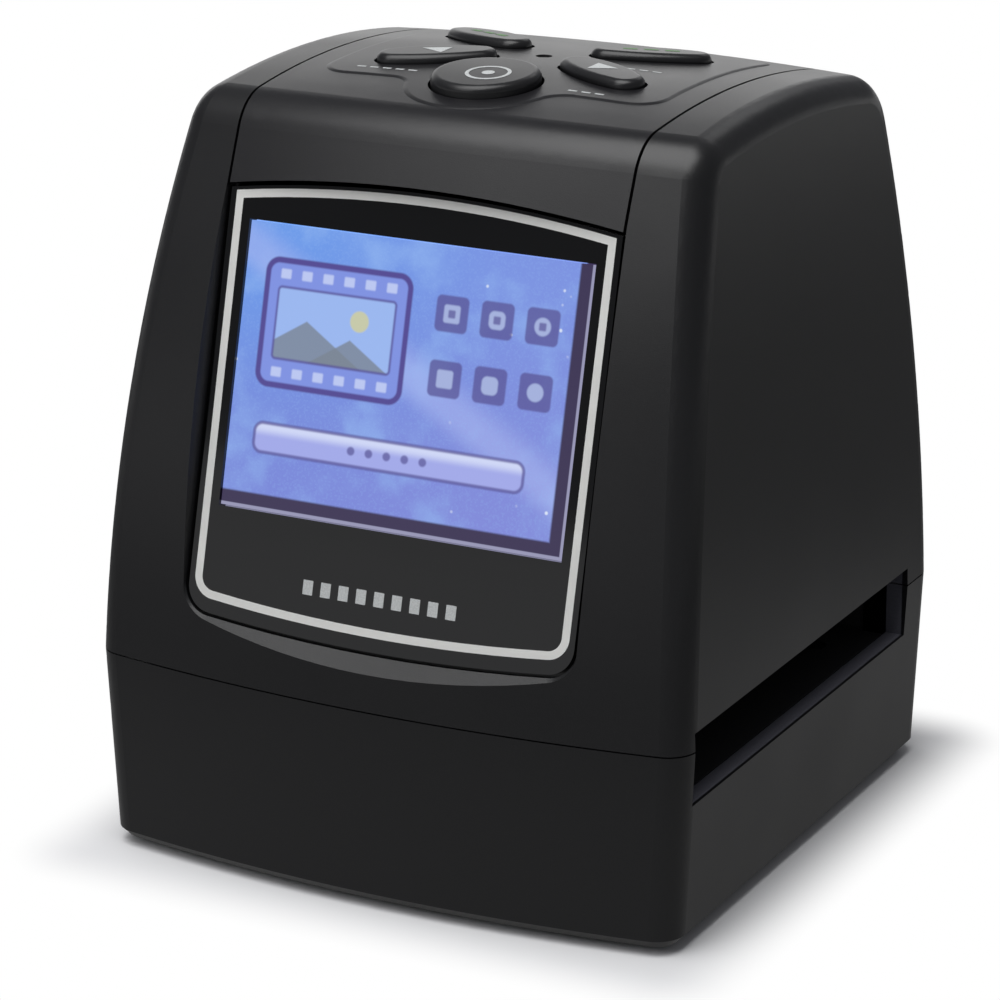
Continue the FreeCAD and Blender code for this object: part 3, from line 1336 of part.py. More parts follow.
# Small sockets that take the leads' ends
socket_side = ("main_board_inner - socket_height", "main_board_inner")
socket_middle = "main_board_inner - socket_height / 2"
ribbon_side = (" - ribbon_half", " + ribbon_half")
sensor_across = ("gate_place" + ribbon_side[0], "gate_place" + ribbon_side[1])
button_across = ("button_ribbon_along" + ribbon_side[0], "button_ribbon_along" + ribbon_side[1])
plug_across = ("lead_across - lead_plug", "lead_across + lead_plug")
tray_space = lean(group("tray_shadow", [box("tray_space", ("-display_frame_half", "display_frame_half"),
                                            ("-overrun", "display_frame_back"), ("0", "side_top_height"))]))
screen_socket = cut("screen_socket", box(
    "screen_socket_block", ("screen_ribbon_start - ribbon_half", "screen_ribbon_start"),
    ("screen_ribbon_plane - overrun", "screen_ribbon_plane + socket_margin"),
    ("screen_ribbon_low", "screen_ribbon_high")), [tray_space])
keep(group("socket_group", [
    screen_socket,
    box("screen_main_socket", socket_side, ("screen_ribbon_end", "screen_ribbon_end + socket_width"),
        ("screen_ribbon_low - socket_margin", "screen_ribbon_high + socket_margin")),
    box("sensor_socket", ("sensor_ribbon_start - socket_width", "sensor_ribbon_start"), sensor_across,
        (sensor_top, sensor_top + " + socket_height")),
    box("sensor_main_socket", socket_side, sensor_across,
        ("sensor_ribbon_end", "sensor_ribbon_end + socket_width")),
    box("button_socket", ("button_ribbon_start - socket_width", "button_ribbon_start"), button_across,
        (board_bottom + " - socket_height", board_bottom)),
    box("button_main_socket", socket_side, button_across,
        ("button_ribbon_end - socket_width", "button_ribbon_end")),
    box("lamp_socket", plug_across, ("lead_start - socket_width", "lead_start"),
        (lamp_board_top, lamp_board_top + " + lead_plug")),
    box("lamp_main_socket", ("main_board_inner - lead_plug", "main_board_inner"),
        ("lead_end - socket_width", "lead_end"), ("lead_high - lead_plug", "lead_high + lead_plug"))]),
     "board_sockets")


# Leads: each follows its route, with an arc at every bend as large as the shorter leg allows

def lead(label, points, across, along):
    """Sweeps a flat or round section along a route of straight legs and arcs."""
    points = [Vector(*[value(formula) for formula in point]) for point in points]
    edges = []
    start = points[0]
    for before, corner, after in zip(points, points[1:], points[2:]):
        back = before - corner
        onward = after - corner
        half_turn = (math.pi - back.getAngle(onward)) / 2
        setback = value("lead_bend_share") * min(back.Length, onward.Length)
        radius = setback / math.tan(half_turn)
        print("%s bend radius %.2f" % (label, radius))
        first = corner + back * (setback / back.Length)
        last = corner + onward * (setback / onward.Length)
        inward = back.normalize() + onward.normalize()
        middle = corner + inward.normalize() * (radius / math.cos(half_turn) - radius)
        edges += [Part.makeLine(start, first), Part.Arc(first, middle, last).toShape()]
        start = last
    edges.append(Part.makeLine(start, points[-1]))
    if across is None:
        way = points[1] - points[0]
        section = Part.Wire(Part.makeCircle(value("lead_radius"), points[0], way))
    else:
        thin = Vector(*along) * (value("ribbon") / 2)
        wide = Vector(*across) * (value("ribbon_half") if label != "display_flex" else
                                  value("screen_ribbon_high - screen_ribbon_low") / 2)
        corners = [points[0] + wide + thin, points[0] + wide - thin, points[0] - wide - thin,
                   points[0] - wide + thin]
        section = Part.makePolygon(corners + corners[:1])
    made = doc.addObject("Part::Feature", label + "_run")
    made.Shape = Part.Wire(edges).makePipeShell([section], True, False)
    keep(made, label)


screen_ribbon_middle = "(screen_ribbon_low + screen_ribbon_high) / 2"
lead("display_flex", [("screen_ribbon_start", "screen_ribbon_plane", screen_ribbon_middle),
                      ("screen_ribbon_turn", "screen_ribbon_plane", screen_ribbon_middle),
                      (socket_middle, "screen_ribbon_join", screen_ribbon_middle),
                      (socket_middle, "screen_ribbon_end", screen_ribbon_middle)], (0, 0, 1), (0, 1, 0))
sensor_line = sensor_top + " + socket_height / 2"
lead("sensor_flex", [("sensor_ribbon_start", "gate_place", sensor_line),
                     (socket_middle, "gate_place", sensor_line),
                     (socket_middle, "gate_place", "sensor_ribbon_end")], (0, 1, 0), (0, 0, 1))
button_line = board_bottom + " - socket_height / 2"
lead("button_flex", [("button_ribbon_start", "button_ribbon_along", button_line),
                     (socket_middle, "button_ribbon_along", button_line),
                     (socket_middle, "button_ribbon_along", "button_ribbon_end")], (0, 1, 0), (0, 0, 1))
lamp_line = lamp_board_top + " + lead_plug / 2"
lead_side = "main_board_inner - lead_plug / 2"
lead("light_lead", [("lead_across", "lead_start", lamp_line), ("lead_across", "lead_back", lamp_line),
                    ("lead_across", "lead_back", "lead_high"), (lead_side, "lead_join", "lead_high"),
                    (lead_side, "lead_end", "lead_high")], None, None)

# Check every object and write the sub-parts
doc.recompute()
for item in doc.Objects:
    if {"Invalid", "Error"} & set(item.State):
        raise RuntimeError("%s did not build: %s" % (item.Name, item.State))
for made in parts:
    if made.Shape.isNull() or not made.Shape.isValid() or not made.Shape.Solids:
        raise RuntimeError("%s is not a sound solid" % made.Label)
os.makedirs("parts", exist_ok=True)
for made in parts:
    made.Shape.exportStep("parts/%s.step" % made.Label)
    print("%-18s %3d solids %12.1f" % (made.Label, len(made.Shape.Solids), made.Shape.Volume))
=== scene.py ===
import math

import bpy
import numpy as np
from mathutils import Matrix, Vector


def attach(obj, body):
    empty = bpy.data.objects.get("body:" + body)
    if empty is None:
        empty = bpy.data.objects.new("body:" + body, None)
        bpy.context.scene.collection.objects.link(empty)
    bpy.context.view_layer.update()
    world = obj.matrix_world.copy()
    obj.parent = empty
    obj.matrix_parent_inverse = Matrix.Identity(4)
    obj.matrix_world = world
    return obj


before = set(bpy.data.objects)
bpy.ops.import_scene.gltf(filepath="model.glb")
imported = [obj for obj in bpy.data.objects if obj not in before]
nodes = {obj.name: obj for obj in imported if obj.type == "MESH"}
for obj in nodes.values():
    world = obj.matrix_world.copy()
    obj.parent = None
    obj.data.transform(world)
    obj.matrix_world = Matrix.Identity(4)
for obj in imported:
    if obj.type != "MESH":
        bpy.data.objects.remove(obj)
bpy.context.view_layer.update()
mm = 0.001

# Camera: it stands in front of the scanner's right corner and looks a little down on it.
# Its place, its turn and its lens are those that the photograph's edges give.
camera_place = Vector((0.24196, -0.458752, 0.217958))
camera_yaw = math.radians(28.1356)
camera_pitch = math.radians(18.6726)
camera_roll = math.radians(-0.4706)
camera_lens = 146.64
film_width = 36
nearest = 0.01
furthest = 20
camera = bpy.data.objects.new("camera", bpy.data.cameras.new("camera"))
bpy.context.scene.collection.objects.link(camera)
bpy.context.scene.camera = camera
ahead = Vector((-math.sin(camera_yaw) * math.cos(camera_pitch),
                math.cos(camera_yaw) * math.cos(camera_pitch), -math.sin(camera_pitch)))
level = Vector((math.cos(camera_yaw), math.sin(camera_yaw), 0))
upright = level.cross(ahead)
right = level * math.cos(camera_roll) + upright * math.sin(camera_roll)
top = upright * math.cos(camera_roll) - level * math.sin(camera_roll)
camera.matrix_world = Matrix.Translation(camera_place) @ Matrix((right, top, -ahead)).transposed().to_4x4()
camera.data.sensor_width = film_width
camera.data.lens = camera_lens
camera.data.clip_start = nearest
camera.data.clip_end = furthest
bpy.context.scene.view_settings.view_transform = "Standard"


# Floor and backdrop: white paper. Close to the scanner the camera sees the lit paper with the soft shadow;
# further out, and behind the scanner, the paper is plain white. Gloss sees that white from far_start on.
# To gloss and bounce light the lit paper is grey, a painted shade, and near the scanner gloss also sees a
# faint glow on it, a painted pool of light.
floor_reach = 3.0
wall_place = 1.3
wall_span = (-2.2, -0.4)
wall_height = 0.76
footprint_half = (0.0415, 0.0428, 0)
shadow_start = 0.0
shadow_end = 0.0125
# A painted pool of light on the paper near the scanner, seen only in gloss.
painted_pool_start = 0.18
painted_pool_end = 0.09
painted_pool_level = 0.18
far_start = 0.7
far_end = 1.3
white = (1, 1, 1, 1)
paper_white = (0.86, 0.86, 0.87, 1)
# The paper's colour to gloss and bounce light: a painted shade, grey where the camera sees white.
paper_painted_shade = (0.17, 0.17, 0.17, 1)


def stage_sheet(name, corners):
    """A flat sheet between four corners."""
    mesh = bpy.data.meshes.new(name)
    mesh.from_pydata(corners, [], [(0, 1, 2, 3)])
    sheet = bpy.data.objects.new(name, mesh)
    bpy.context.scene.collection.objects.link(sheet)
    return sheet


def new_material(name):
    """An empty node material, with its nodes and its output."""
    material = bpy.data.materials.new(name)
    material.use_nodes = True
    tree = material.node_tree
    tree.nodes.clear()
    return material, tree, tree.nodes.new("ShaderNodeOutputMaterial")


def node(tree, kind, settings=(), **inputs):
    """Adds one node. Its inputs are values or other nodes' outputs, by socket name or as i and a number."""
    made = tree.nodes.new("ShaderNode" + kind)
    for key, value in dict(settings).items():
        setattr(made, key, value)
    for key, value in inputs.items():
        label = key.replace("_", " ")
        socket = made.inputs[label] if label in made.inputs else made.inputs[int(key[1:])]
        if isinstance(value, bpy.types.NodeSocket):
            tree.links.new(value, socket)
        else:
            socket.default_value = value
    return made


def ramp(tree, value, low, high, start=0.0, end=1.0):
    """Start below low, end above high, and a soft change between them."""
    return node(tree, "MapRange", {"interpolation_type": "SMOOTHSTEP"}, Value=value,
                From_Min=low, From_Max=high, To_Min=start, To_Max=end).outputs[0]


def maths(tree, kind, first, second=0.0):
    """One step of arithmetic on numbers or sockets."""
    return node(tree, "Math", {"operation": kind}, i0=first, i1=second).outputs[0]


def vector_maths(tree, kind, first, second=(0, 0, 0), result="Vector"):
    """One step of arithmetic on vectors."""
    return node(tree, "VectorMath", {"operation": kind}, i0=first, i1=second).outputs[result]


def outside_box(tree, place, half):
    """Distance from a box round the origin, measured outside it."""
    folded = vector_maths(tree, "ABSOLUTE", place)
    beyond = vector_maths(tree, "SUBTRACT", folded, half)
    clipped = vector_maths(tree, "MAXIMUM", beyond)
    return vector_maths(tree, "LENGTH", clipped, result="Value")


floor = stage_sheet("floor", [(-floor_reach, -floor_reach, 0), (floor_reach, -floor_reach, 0),
                              (floor_reach, floor_reach, 0), (-floor_reach, floor_reach, 0)])
wall_left, wall_right = wall_span
wall = stage_sheet("wall", [(wall_left, wall_place, 0), (wall_right, wall_place, 0),
                            (wall_right, wall_place, wall_height), (wall_left, wall_place, wall_height)])
paper, tree, output = new_material("white_sweep")
place = node(tree, "TexCoord").outputs["Object"]
rays = node(tree, "LightPath").outputs
away = ramp(tree, outside_box(tree, place, footprint_half), shadow_start, shadow_end)
distance = vector_maths(tree, "LENGTH", place, result="Value")
# Gloss sees a faint glow on the paper near the scanner: a painted pool of light.
painted_pool = ramp(tree, distance, painted_pool_start, painted_pool_end, 0.0, painted_pool_level)
far = maths(tree, "MAXIMUM", ramp(tree, distance, far_start, far_end), painted_pool)
direct = maths(tree, "MAXIMUM", rays["Is Camera Ray"], rays["Is Transmission Ray"])
shown = maths(tree, "MULTIPLY", away, direct)
mirrored = maths(tree, "MULTIPLY", far, rays["Is Glossy Ray"])
# The paper is white to the camera and grey to every other ray: a painted shade in reflections and bounce
# light.
paper_shade_by_ray = node(tree, "Mix", {"data_type": "RGBA"}, i0=rays["Is Camera Ray"], i6=paper_painted_shade, i7=paper_white)
lit = node(tree, "BsdfDiffuse", Color=paper_shade_by_ray.outputs[2])
glow = node(tree, "Emission", Color=white, Strength=1.0)
plain_white = maths(tree, "MAXIMUM", shown, mirrored)
mixed = node(tree, "MixShader", i0=plain_white, i1=lit.outputs[0], i2=glow.outputs[0])
tree.links.new(mixed.outputs[0], output.inputs["Surface"])
for sheet in (floor, wall):
    sheet.data.materials.append(paper)


# Room light: a dim even room, which the camera and clear pieces see as white, and five soft boxes. The
# large one hangs overhead, one stands in front on the left, a low one is what the screen plate mirrors,
# and two weak ones behind give the domed top and its right shoulder their sheen.
room_level = 0.18
room_tint = (0.92, 0.94, 1.0, 1)
scanner_middle = Vector((0, 0, 0.05))
world = bpy.data.worlds.new("room")
bpy.context.scene.world = world
world.use_nodes = True
tree = world.node_tree
tree.nodes.clear()
rays = node(tree, "LightPath").outputs
direct = maths(tree, "MAXIMUM", rays["Is Camera Ray"], rays["Is Transmission Ray"])
dim = node(tree, "Background", Color=room_tint, Strength=room_level)
bright = node(tree, "Background", Color=white, Strength=1.0)
room = node(tree, "MixShader", i0=direct, i1=dim.outputs[0], i2=bright.outputs[0])
tree.links.new(room.outputs[0], node(tree, "OutputWorld").inputs["Surface"])


def soft_box(name, azimuth, elevation, distance, width, height, radiance):
    """A rectangular lamp that faces the scanner; azimuth 0 is straight in front, and + is to the right."""
    turn = math.radians(azimuth)
    lift = math.radians(elevation)
    toward = Vector((math.sin(turn) * math.cos(lift), -math.cos(turn) * math.cos(lift), math.sin(lift)))
    lamp = bpy.data.lights.new(name, "AREA")
    lamp.shape = "RECTANGLE"
    lamp.size = width
    lamp.size_y = height
    lamp.energy = radiance * math.pi * width * height
    holder = bpy.data.objects.new(name, lamp)
    holder.location = scanner_middle + toward * distance
    holder.rotation_euler = (-toward).to_track_quat("-Z", "Y").to_euler()
    bpy.context.scene.collection.objects.link(holder)


soft_box("overhead", azimuth=-20, elevation=74, distance=1.15, width=1.0, height=1.0, radiance=3.6)
soft_box("front", azimuth=-22.5, elevation=36, distance=1.2, width=0.66, height=0.60, radiance=1.6)
soft_box("low_front", azimuth=-28, elevation=4.6, distance=1.19, width=1.1, height=0.14, radiance=0.5)
soft_box("rim", azimuth=-150, elevation=15, distance=1.25, width=1.1, height=0.34, radiance=0.2)
soft_box("rear", azimuth=-178, elevation=35, distance=1.2, width=0.4, height=0.3, radiance=0.9)


# Outer shells: moulded black ABS with a fine spark-eroded grain, in three pieces that meet at thin seams:
# the foot with the lower half of the film slot, the body round the screen, and the cover over the top.
# Screws from below and hooks hold foot and body together; the faces in the film slot are painted pale,
# a painted highlight standing in for light falling on the slot's sill.
shell_colour = (0.0090, 0.0090, 0.0100)
cover_colour = (0.0095, 0.0092, 0.0108)
shell_gloss = 0.33
# Painted light in the film slot: its pale colour, and the box, with a soft edge, where it is laid.
slot_painted_light = (0.13, 0.13, 0.155, 1)
slot_middle = (0, -2.25 * mm, 24.8 * mm)
slot_half = (42.2 * mm, 34.1 * mm, 5.05 * mm)
slot_soft = 0.15 * mm
noise_low = 0.3
noise_high = 0.7
cloud_scale = 45.0
gloss_swing = 0.03
tint_swing = 0.18


def dress(name, material):
    """Gives one carried-over piece its material."""
    piece = nodes[name]
    if not piece.material_slots:
        piece.data.materials.append(material)
    for slot in piece.material_slots:
        slot.material = material


def spread(tree, noise, low, high, start=noise_low, end=noise_high):
    """Stretches a noise: its level start comes to low, and its level end to high."""
    return node(tree, "MapRange", Value=noise, From_Min=start, From_Max=end,
                To_Min=low, To_Max=high).outputs[0]


def satin_plastic(name, colour, roughness=0.42, grain=0.16, depth=0.012, paint_slot_light=False):
    """Moulded plastic: a fine grain, in millimetres wide and deep, and slow cloudy changes of gloss."""
    material, tree, output = new_material(name)
    place = node(tree, "TexCoord").outputs["Object"]
    fine = node(tree, "TexNoise", Vector=place, Scale=1 / (grain * mm), Detail=3.0,
                Roughness=0.6).outputs["Fac"]
    cloudy = node(tree, "TexNoise", Vector=place, Scale=cloud_scale, Detail=2.0).outputs["Fac"]
    gloss = spread(tree, cloudy, roughness - gloss_swing, roughness + gloss_swing)
    tint = spread(tree, fine, 1 - tint_swing, 1 + tint_swing)
    base = colour
    # Painted light: inside the film slot's box the colour turns pale blue-grey, in place of light on its
    # sill.
    if paint_slot_light:
        offset = vector_maths(tree, "SUBTRACT", place, slot_middle)
        slot_light_share = ramp(tree, outside_box(tree, offset, slot_half), slot_soft, 0.0)
        blend = node(tree, "Mix", {"data_type": "RGBA"}, i0=slot_light_share, i6=(*colour, 1), i7=slot_painted_light)
        base = blend.outputs[2]
    shade = node(tree, "VectorMath", {"operation": "SCALE"}, i0=base, Scale=tint).outputs[0]
    bump = node(tree, "Bump", Height=fine, Distance=depth * mm, Strength=1.0).outputs[0]
    body = node(tree, "BsdfPrincipled", Base_Color=shade, Roughness=gloss, Normal=bump)
    tree.links.new(body.outputs[0], output.inputs["Surface"])
    return material


shell_black = satin_plastic("shell_plastic", shell_colour, roughness=shell_gloss, paint_slot_light=True)
for name in ("base_case", "upper_case"):
    dress(name, shell_black)
dress("top_cover", satin_plastic("cover_plastic", cover_colour, roughness=shell_gloss))


# Push caps: the same plastic moulded smoother, so that their domed tops catch a brighter line.
# Each slides in its opening in the cover, and a flange under the cover holds it in.
cap_colour = (0.0105, 0.0105, 0.0115)
buttons = ("scan", "mirror", "flip", "power", "menu")
cap_black = satin_plastic("cap_plastic", cap_colour, roughness=0.31, depth=0.005)
for button in buttons:
    dress(button + "_button", cap_black)


# Feet: four soft black rubber discs, stuck into shallow seats under the foot, so that only a dark line of
# them shows from the side.
foot_rubber = satin_plastic("foot_rubber", (0.012, 0.012, 0.012), roughness=0.7, grain=0.3, depth=0.03)
for name in ("foot_front_left", "foot_front_right", "foot_rear_left", "foot_rear_right"):
    dress(name, foot_rubber)


# Screen plate: black acrylic polished to a mirror, with hairline wipe marks in its gloss.
# It is stuck on the body's recessed seat.
wipe_scale = (30.0, 30.0, 220.0)
wipe_tint = 0.05


def polished(name, colour, roughness, metal=0.0, wipe=0.03):
    """A smooth face whose gloss changes in long faint wipes."""
    material, tree, output = new_material(name)
    place = node(tree, "TexCoord").outputs["Object"]
    along = vector_maths(tree, "MULTIPLY", place, wipe_scale)
    wipes = node(tree, "TexNoise", Vector=along, Scale=1.0, Detail=4.0).outputs["Fac"]
    gloss = spread(tree, wipes, roughness, roughness + wipe, start=0.35, end=0.75)
    tint = spread(tree, wipes, 1 - wipe_tint, 1 + wipe_tint)
    shade = node(tree, "VectorMath", {"operation": "SCALE"}, i0=colour, Scale=tint).outputs[0]
    body = node(tree, "BsdfPrincipled", Base_Color=shade, Roughness=gloss, Metallic=metal)
    tree.links.new(body.outputs[0], output.inputs["Surface"])
    return material


plate_colour = (0.004, 0.004, 0.0045)
dress("display_plate", polished("plate_gloss", plate_colour, 0.06))


# Silver line round the plate: a narrow ring of foil with a satin paint, inlaid in a groove in the plate's
# face, and level with it.
trim_colour = (0.90, 0.90, 0.87)
dress("plate_trim", polished("trim_silver", trim_colour, 0.42, metal=0.15, wipe=0.08))


# Lit screen: a film frame on a violet-blue start picture, drawn over the panel's face in millimetres across
# and up the plate. The panel is glass, held behind the plate's window, with a dark border right and below.
plate_tilt = math.radians(15.06)
plate_foot = (0, -49.81 * mm, 1.0 * mm)
edge = 0.18
glow_level = 0.92
violet = (0.195, 0.255, 0.735, 1)
sky_blue = (0.15, 0.34, 0.87)
lilac = (0.255, 0.275, 0.74)
cloud = (0.31, 0.51, 0.94)
beam = (0.42, 0.50, 0.93)
sparkle = (0.80, 0.88, 1.0)
picture_sides = (-25, 23)
picture_heights = (52, 88)
lilac_share = 0.55
haze_scale = 0.11
cloud_haze = (0.46, 0.72)
cloud_share = 0.55
beam_lean = 0.55
beam_near = (66, 70)
beam_far = (76, 71)
beam_share = 0.5
dots_per_mm = (5, 5, 5)
dot_levels = (0.55, 1.0)
dot_share = 0.16
star_scale = 0.30
star_edge = (0.10, 0.03)
star_haze = (0.48, 0.54)
star_share = 0.9
screen, tree, output = new_material("screen_picture")
place = node(tree, "TexCoord").outputs["Object"]
flat = node(tree, "Mapping", {"vector_type": "TEXTURE"}, Vector=place, Location=plate_foot,
            Rotation=(-plate_tilt, 0, 0), Scale=(mm, mm, mm)).outputs[0]
split = node(tree, "SeparateXYZ", Vector=flat).outputs
across = split["X"]
up = split["Z"]
on_plate = node(tree, "CombineXYZ", X=across, Y=up, Z=0.0).outputs[0]


def tile(middle, half, corner):
    """Distance outside a rounded tile, below zero inside it."""
    offset = vector_maths(tree, "SUBTRACT", on_plate, (*middle, 0))
    length = outside_box(tree, offset, (half[0] - corner, half[1] - corner, 0))
    return maths(tree, "SUBTRACT", length, corner)


def filled(distance, strength=1.0):
    """Full inside an outline, nothing outside it."""
    return ramp(tree, distance, edge, -edge, 0.0, strength)


def outlined(distance, half_width, strength=1.0):
    """A line along an outline."""
    off_line = maths(tree, "ABSOLUTE", distance)
    return ramp(tree, off_line, half_width + edge, half_width - edge, 0.0, strength)


def paint(under, colour, share):
    """Lays a colour over what is under it, by a share from 0 to 1."""
    return node(tree, "Mix", {"data_type": "RGBA"}, i0=share, i6=under, i7=(*colour, 1)).outputs[2]


picture = paint(violet, sky_blue, ramp(tree, up, *picture_heights))
picture = paint(picture, lilac, ramp(tree, across, *picture_sides, 0.0, lilac_share))
haze = node(tree, "TexNoise", Vector=on_plate, Scale=haze_scale, Detail=3.0).outputs["Fac"]
picture = paint(picture, cloud, ramp(tree, haze, *cloud_haze, 0.0, cloud_share))
streak = maths(tree, "ADD", maths(tree, "MULTIPLY", across, beam_lean), up)
far_side = ramp(tree, streak, *beam_far, 0.0, beam_share)
picture = paint(picture, beam, maths(tree, "MULTIPLY", ramp(tree, streak, *beam_near), far_side))
dots = vector_maths(tree, "FLOOR", vector_maths(tree, "MULTIPLY", on_plate, dots_per_mm))
dot_level = node(tree, "TexWhiteNoise", {"noise_dimensions": "2D"}, Vector=dots).outputs["Value"]
picture = paint(picture, cloud, ramp(tree, dot_level, *dot_levels, 0.0, dot_share))
cells = node(tree, "TexVoronoi", {"feature": "F1"}, Vector=on_plate, Scale=star_scale).outputs
in_haze = ramp(tree, haze, *star_haze, 0.0, star_share)
stars = maths(tree, "MULTIPLY", ramp(tree, cells["Distance"], *star_edge), in_haze)
picture = paint(picture, sparkle, stars)

# The film frame: a dark-rimmed card with two rows of perforations, and plain hills under a sun
firm = 0.9
clear = 0.85
faint = 0.8
ring_dark = (0.085, 0.065, 0.30)
card_blue = (0.22, 0.30, 0.80)
view_blue = (0.34, 0.50, 0.92)
sun_yellow = (0.60, 0.62, 0.42)
hill_grey = (0.20, 0.24, 0.30)
perforation_white = (0.56, 0.64, 0.95)
frame_middle = Vector((-11.0, 74.5))
card_half = (10.4, 8.0)
card_corner = 1.6
card_line = 0.38
view_half = (8.6, 4.6)
view_corner = 0.5
view_line = 0.16
sun_offset = Vector((3.6, 1.5))
sun_radius = 1.35
hill_peaks = (Vector((-4.0, 0.6)), Vector((2.5, -1.0)))
hill_lean = 0.62
perforations = 6
perforation_step = 3.1
perforation_row = 6.3
perforation_half = (0.75, 0.62)
perforation_corner = 0.2
card = tile(frame_middle, card_half, card_corner)
picture = paint(picture, card_blue, filled(card))
picture = paint(picture, ring_dark, outlined(card, card_line))
view = tile(frame_middle, view_half, view_corner)
picture = paint(picture, view_blue, filled(view))
sun = tile(frame_middle + sun_offset, (sun_radius, sun_radius), sun_radius)
picture = paint(picture, sun_yellow, filled(sun))
for peak in hill_peaks:
    peak_across, peak_up = frame_middle + peak
    from_peak = maths(tree, "ABSOLUTE", maths(tree, "SUBTRACT", across, peak_across))
    slope = maths(tree, "ADD", maths(tree, "MULTIPLY", from_peak, hill_lean), up)
    hill = maths(tree, "MAXIMUM", maths(tree, "SUBTRACT", slope, peak_up), view)
    picture = paint(picture, hill_grey, filled(hill, clear))
picture = paint(picture, ring_dark, outlined(view, view_line, faint))
for number in range(perforations):
    for side in (-1, 1):
        aside = perforation_step * (number - (perforations - 1) / 2)
        middle = frame_middle + Vector((aside, perforation_row * side))
        perforation = tile(middle, perforation_half, perforation_corner)
        picture = paint(picture, perforation_white, filled(perforation, firm))

# Six plain keys beside it: a tile with a paler one on it, and on the upper row a dark middle too
mark_dark = (0.10, 0.09, 0.33)
key_blue = (0.42, 0.50, 0.80)
key_first = 5.6
key_step = 6.4
key_columns = 3
key_rows = (70.4, 78.6)
key_half = (2.3, 2.3)
key_corner = 0.7
pale_half = (1.15, 1.15)
pale_corner = 0.35
pale_rounding = 0.4
dark_half = (0.5, 0.5)
dark_corner = 0.2
for row, height in enumerate(key_rows):
    for column in range(key_columns):
        middle = (key_first + key_step * column, height)
        picture = paint(picture, mark_dark, filled(tile(middle, key_half, key_corner), clear))
        pale = tile(middle, pale_half, pale_corner + pale_rounding * column)
        picture = paint(picture, key_blue, filled(pale, firm))
        if row:
            picture = paint(picture, mark_dark, filled(tile(middle, dark_half, dark_corner), faint))

# The long bar under both: pale in its upper half, with a dark rim and a row of dots
bar_blue = (0.38, 0.42, 0.86)
bar_white = (0.66, 0.72, 0.98)
bar_middle = Vector((-1.4, 59.6))
bar_half = (19.5, 1.9)
bar_corner = 1.2
bar_line = 0.22
bar_fade = 1.4
bar_dots = 5
bar_dot_step = 2.6
bar_dot_radius = 0.55
bar = tile(bar_middle, bar_half, bar_corner)
picture = paint(picture, bar_blue, filled(bar))
upper_half = ramp(tree, up, bar_middle.y, bar_middle.y + bar_fade)
picture = paint(picture, bar_white, maths(tree, "MULTIPLY", filled(bar), upper_half))
picture = paint(picture, mark_dark, outlined(bar, bar_line, faint))
for number in range(bar_dots):
    middle = bar_middle + Vector((bar_dot_step * (number - (bar_dots - 1) / 2), 0))
    bar_dot = tile(middle, (bar_dot_radius, bar_dot_radius), bar_dot_radius)
    picture = paint(picture, mark_dark, filled(bar_dot, faint))

# The dark border, and the bright line where the window's edge catches the panel's light
dusk = (0.040, 0.028, 0.085)
rim_white = (0.42, 0.42, 0.62)
border_right = (22.5, 22.9)
border_below = (52.5, 52.1)
rim_right = (24.25, 24.4)
rim_below = (50.75, 50.6)
rim_share = 0.75
border = maths(tree, "MAXIMUM", ramp(tree, across, *border_right), ramp(tree, up, *border_below))
picture = paint(picture, dusk, border)
rim = maths(tree, "MAXIMUM", ramp(tree, across, *rim_right), ramp(tree, up, *rim_below))
picture = paint(picture, rim_white, maths(tree, "MULTIPLY", rim, rim_share))
glass_dark = (0.01, 0.01, 0.012, 1)
face = node(tree, "BsdfPrincipled", Base_Color=glass_dark, Roughness=0.22, Emission_Color=picture,
            Emission_Strength=glow_level)
tree.links.new(face.outputs[0], output.inputs["Surface"])
dress("lcd_panel", screen)


# Behind the screen: a soft foam seal between glass and plate, the lit sheet behind the glass, and the tray
# of stamped steel round both, behind the plate's seat.
dress("lcd_gasket", satin_plastic("seal_foam", (0.02, 0.02, 0.02), roughness=0.9, grain=0.4, depth=0.1))
dress("backlight", satin_plastic("backlight_sheet", (0.82, 0.84, 0.86), roughness=0.4, depth=0.004))
stamped_steel = polished("stamped_steel", (0.52, 0.52, 0.54), 0.28, metal=1.0, wipe=0.15)
dress("lcd_frame", stamped_steel)


# Indicator: a clear rod whose frosted tip sits in a small hole in the cover. A collar under the cover keeps
# it in, and its lower end stands over the lamp on the button board.
dress("light_pipe", satin_plastic("indicator_tip", (0.16, 0.16, 0.15), roughness=0.35, depth=0.004))
dress("status_led", polished("indicator_lamp", (0.80, 0.80, 0.70), 0.25))


# Film path: the bed and the gate, screwed down and matt black so that no stray light reaches the picture,
# the dark cone above the gate, and the lens holder with its barrel of black anodised aluminium.
path_black = satin_plastic("film_path_plastic", (0.016, 0.016, 0.017), roughness=0.6, grain=0.25)
for name in ("film_bed", "gate_plate", "light_shroud", "lens_holder"):
    dress(name, path_black)
dress("lens_barrel", polished("barrel_anodised", (0.03, 0.03, 0.032), 0.35, metal=0.9))


# Optics: coated glass elements held in the barrel, the tinted filter on the holder's ledge below the
# sensor, and the sensor's own dark covered face under its board.
dress("lens_glass", polished("coated_glass", (0.10, 0.12, 0.20), 0.03))
dress("ir_filter", polished("filter_glass", (0.18, 0.34, 0.36), 0.04))
dress("image_sensor", polished("sensor_face", (0.03, 0.02, 0.05), 0.05))


# Light from below: a white moulded box in the foot, which spreads the light, the opal acrylic sheet that
# closes it, and the lamps on the board under it.
dress("light_box", satin_plastic("white_moulding", (0.80, 0.80, 0.78), roughness=0.5))
dress("diffuser", satin_plastic("opal_sheet", (0.86, 0.87, 0.86), roughness=0.35, depth=0.004))
dress("lamp_leds", polished("lamp_moulding", (0.85, 0.76, 0.32), 0.3))


# Circuit boards: glass-fibre laminate under a lacquer, with the weave and the tracks faintly showing.
# Screws hold each to its posts or bosses.
gap_shade = 0.6
lane_scale = 260.0
lane_gap = 0.06
lane_shift = 0.37
weave_scale = 2400.0
weave_depth = 0.01 * mm


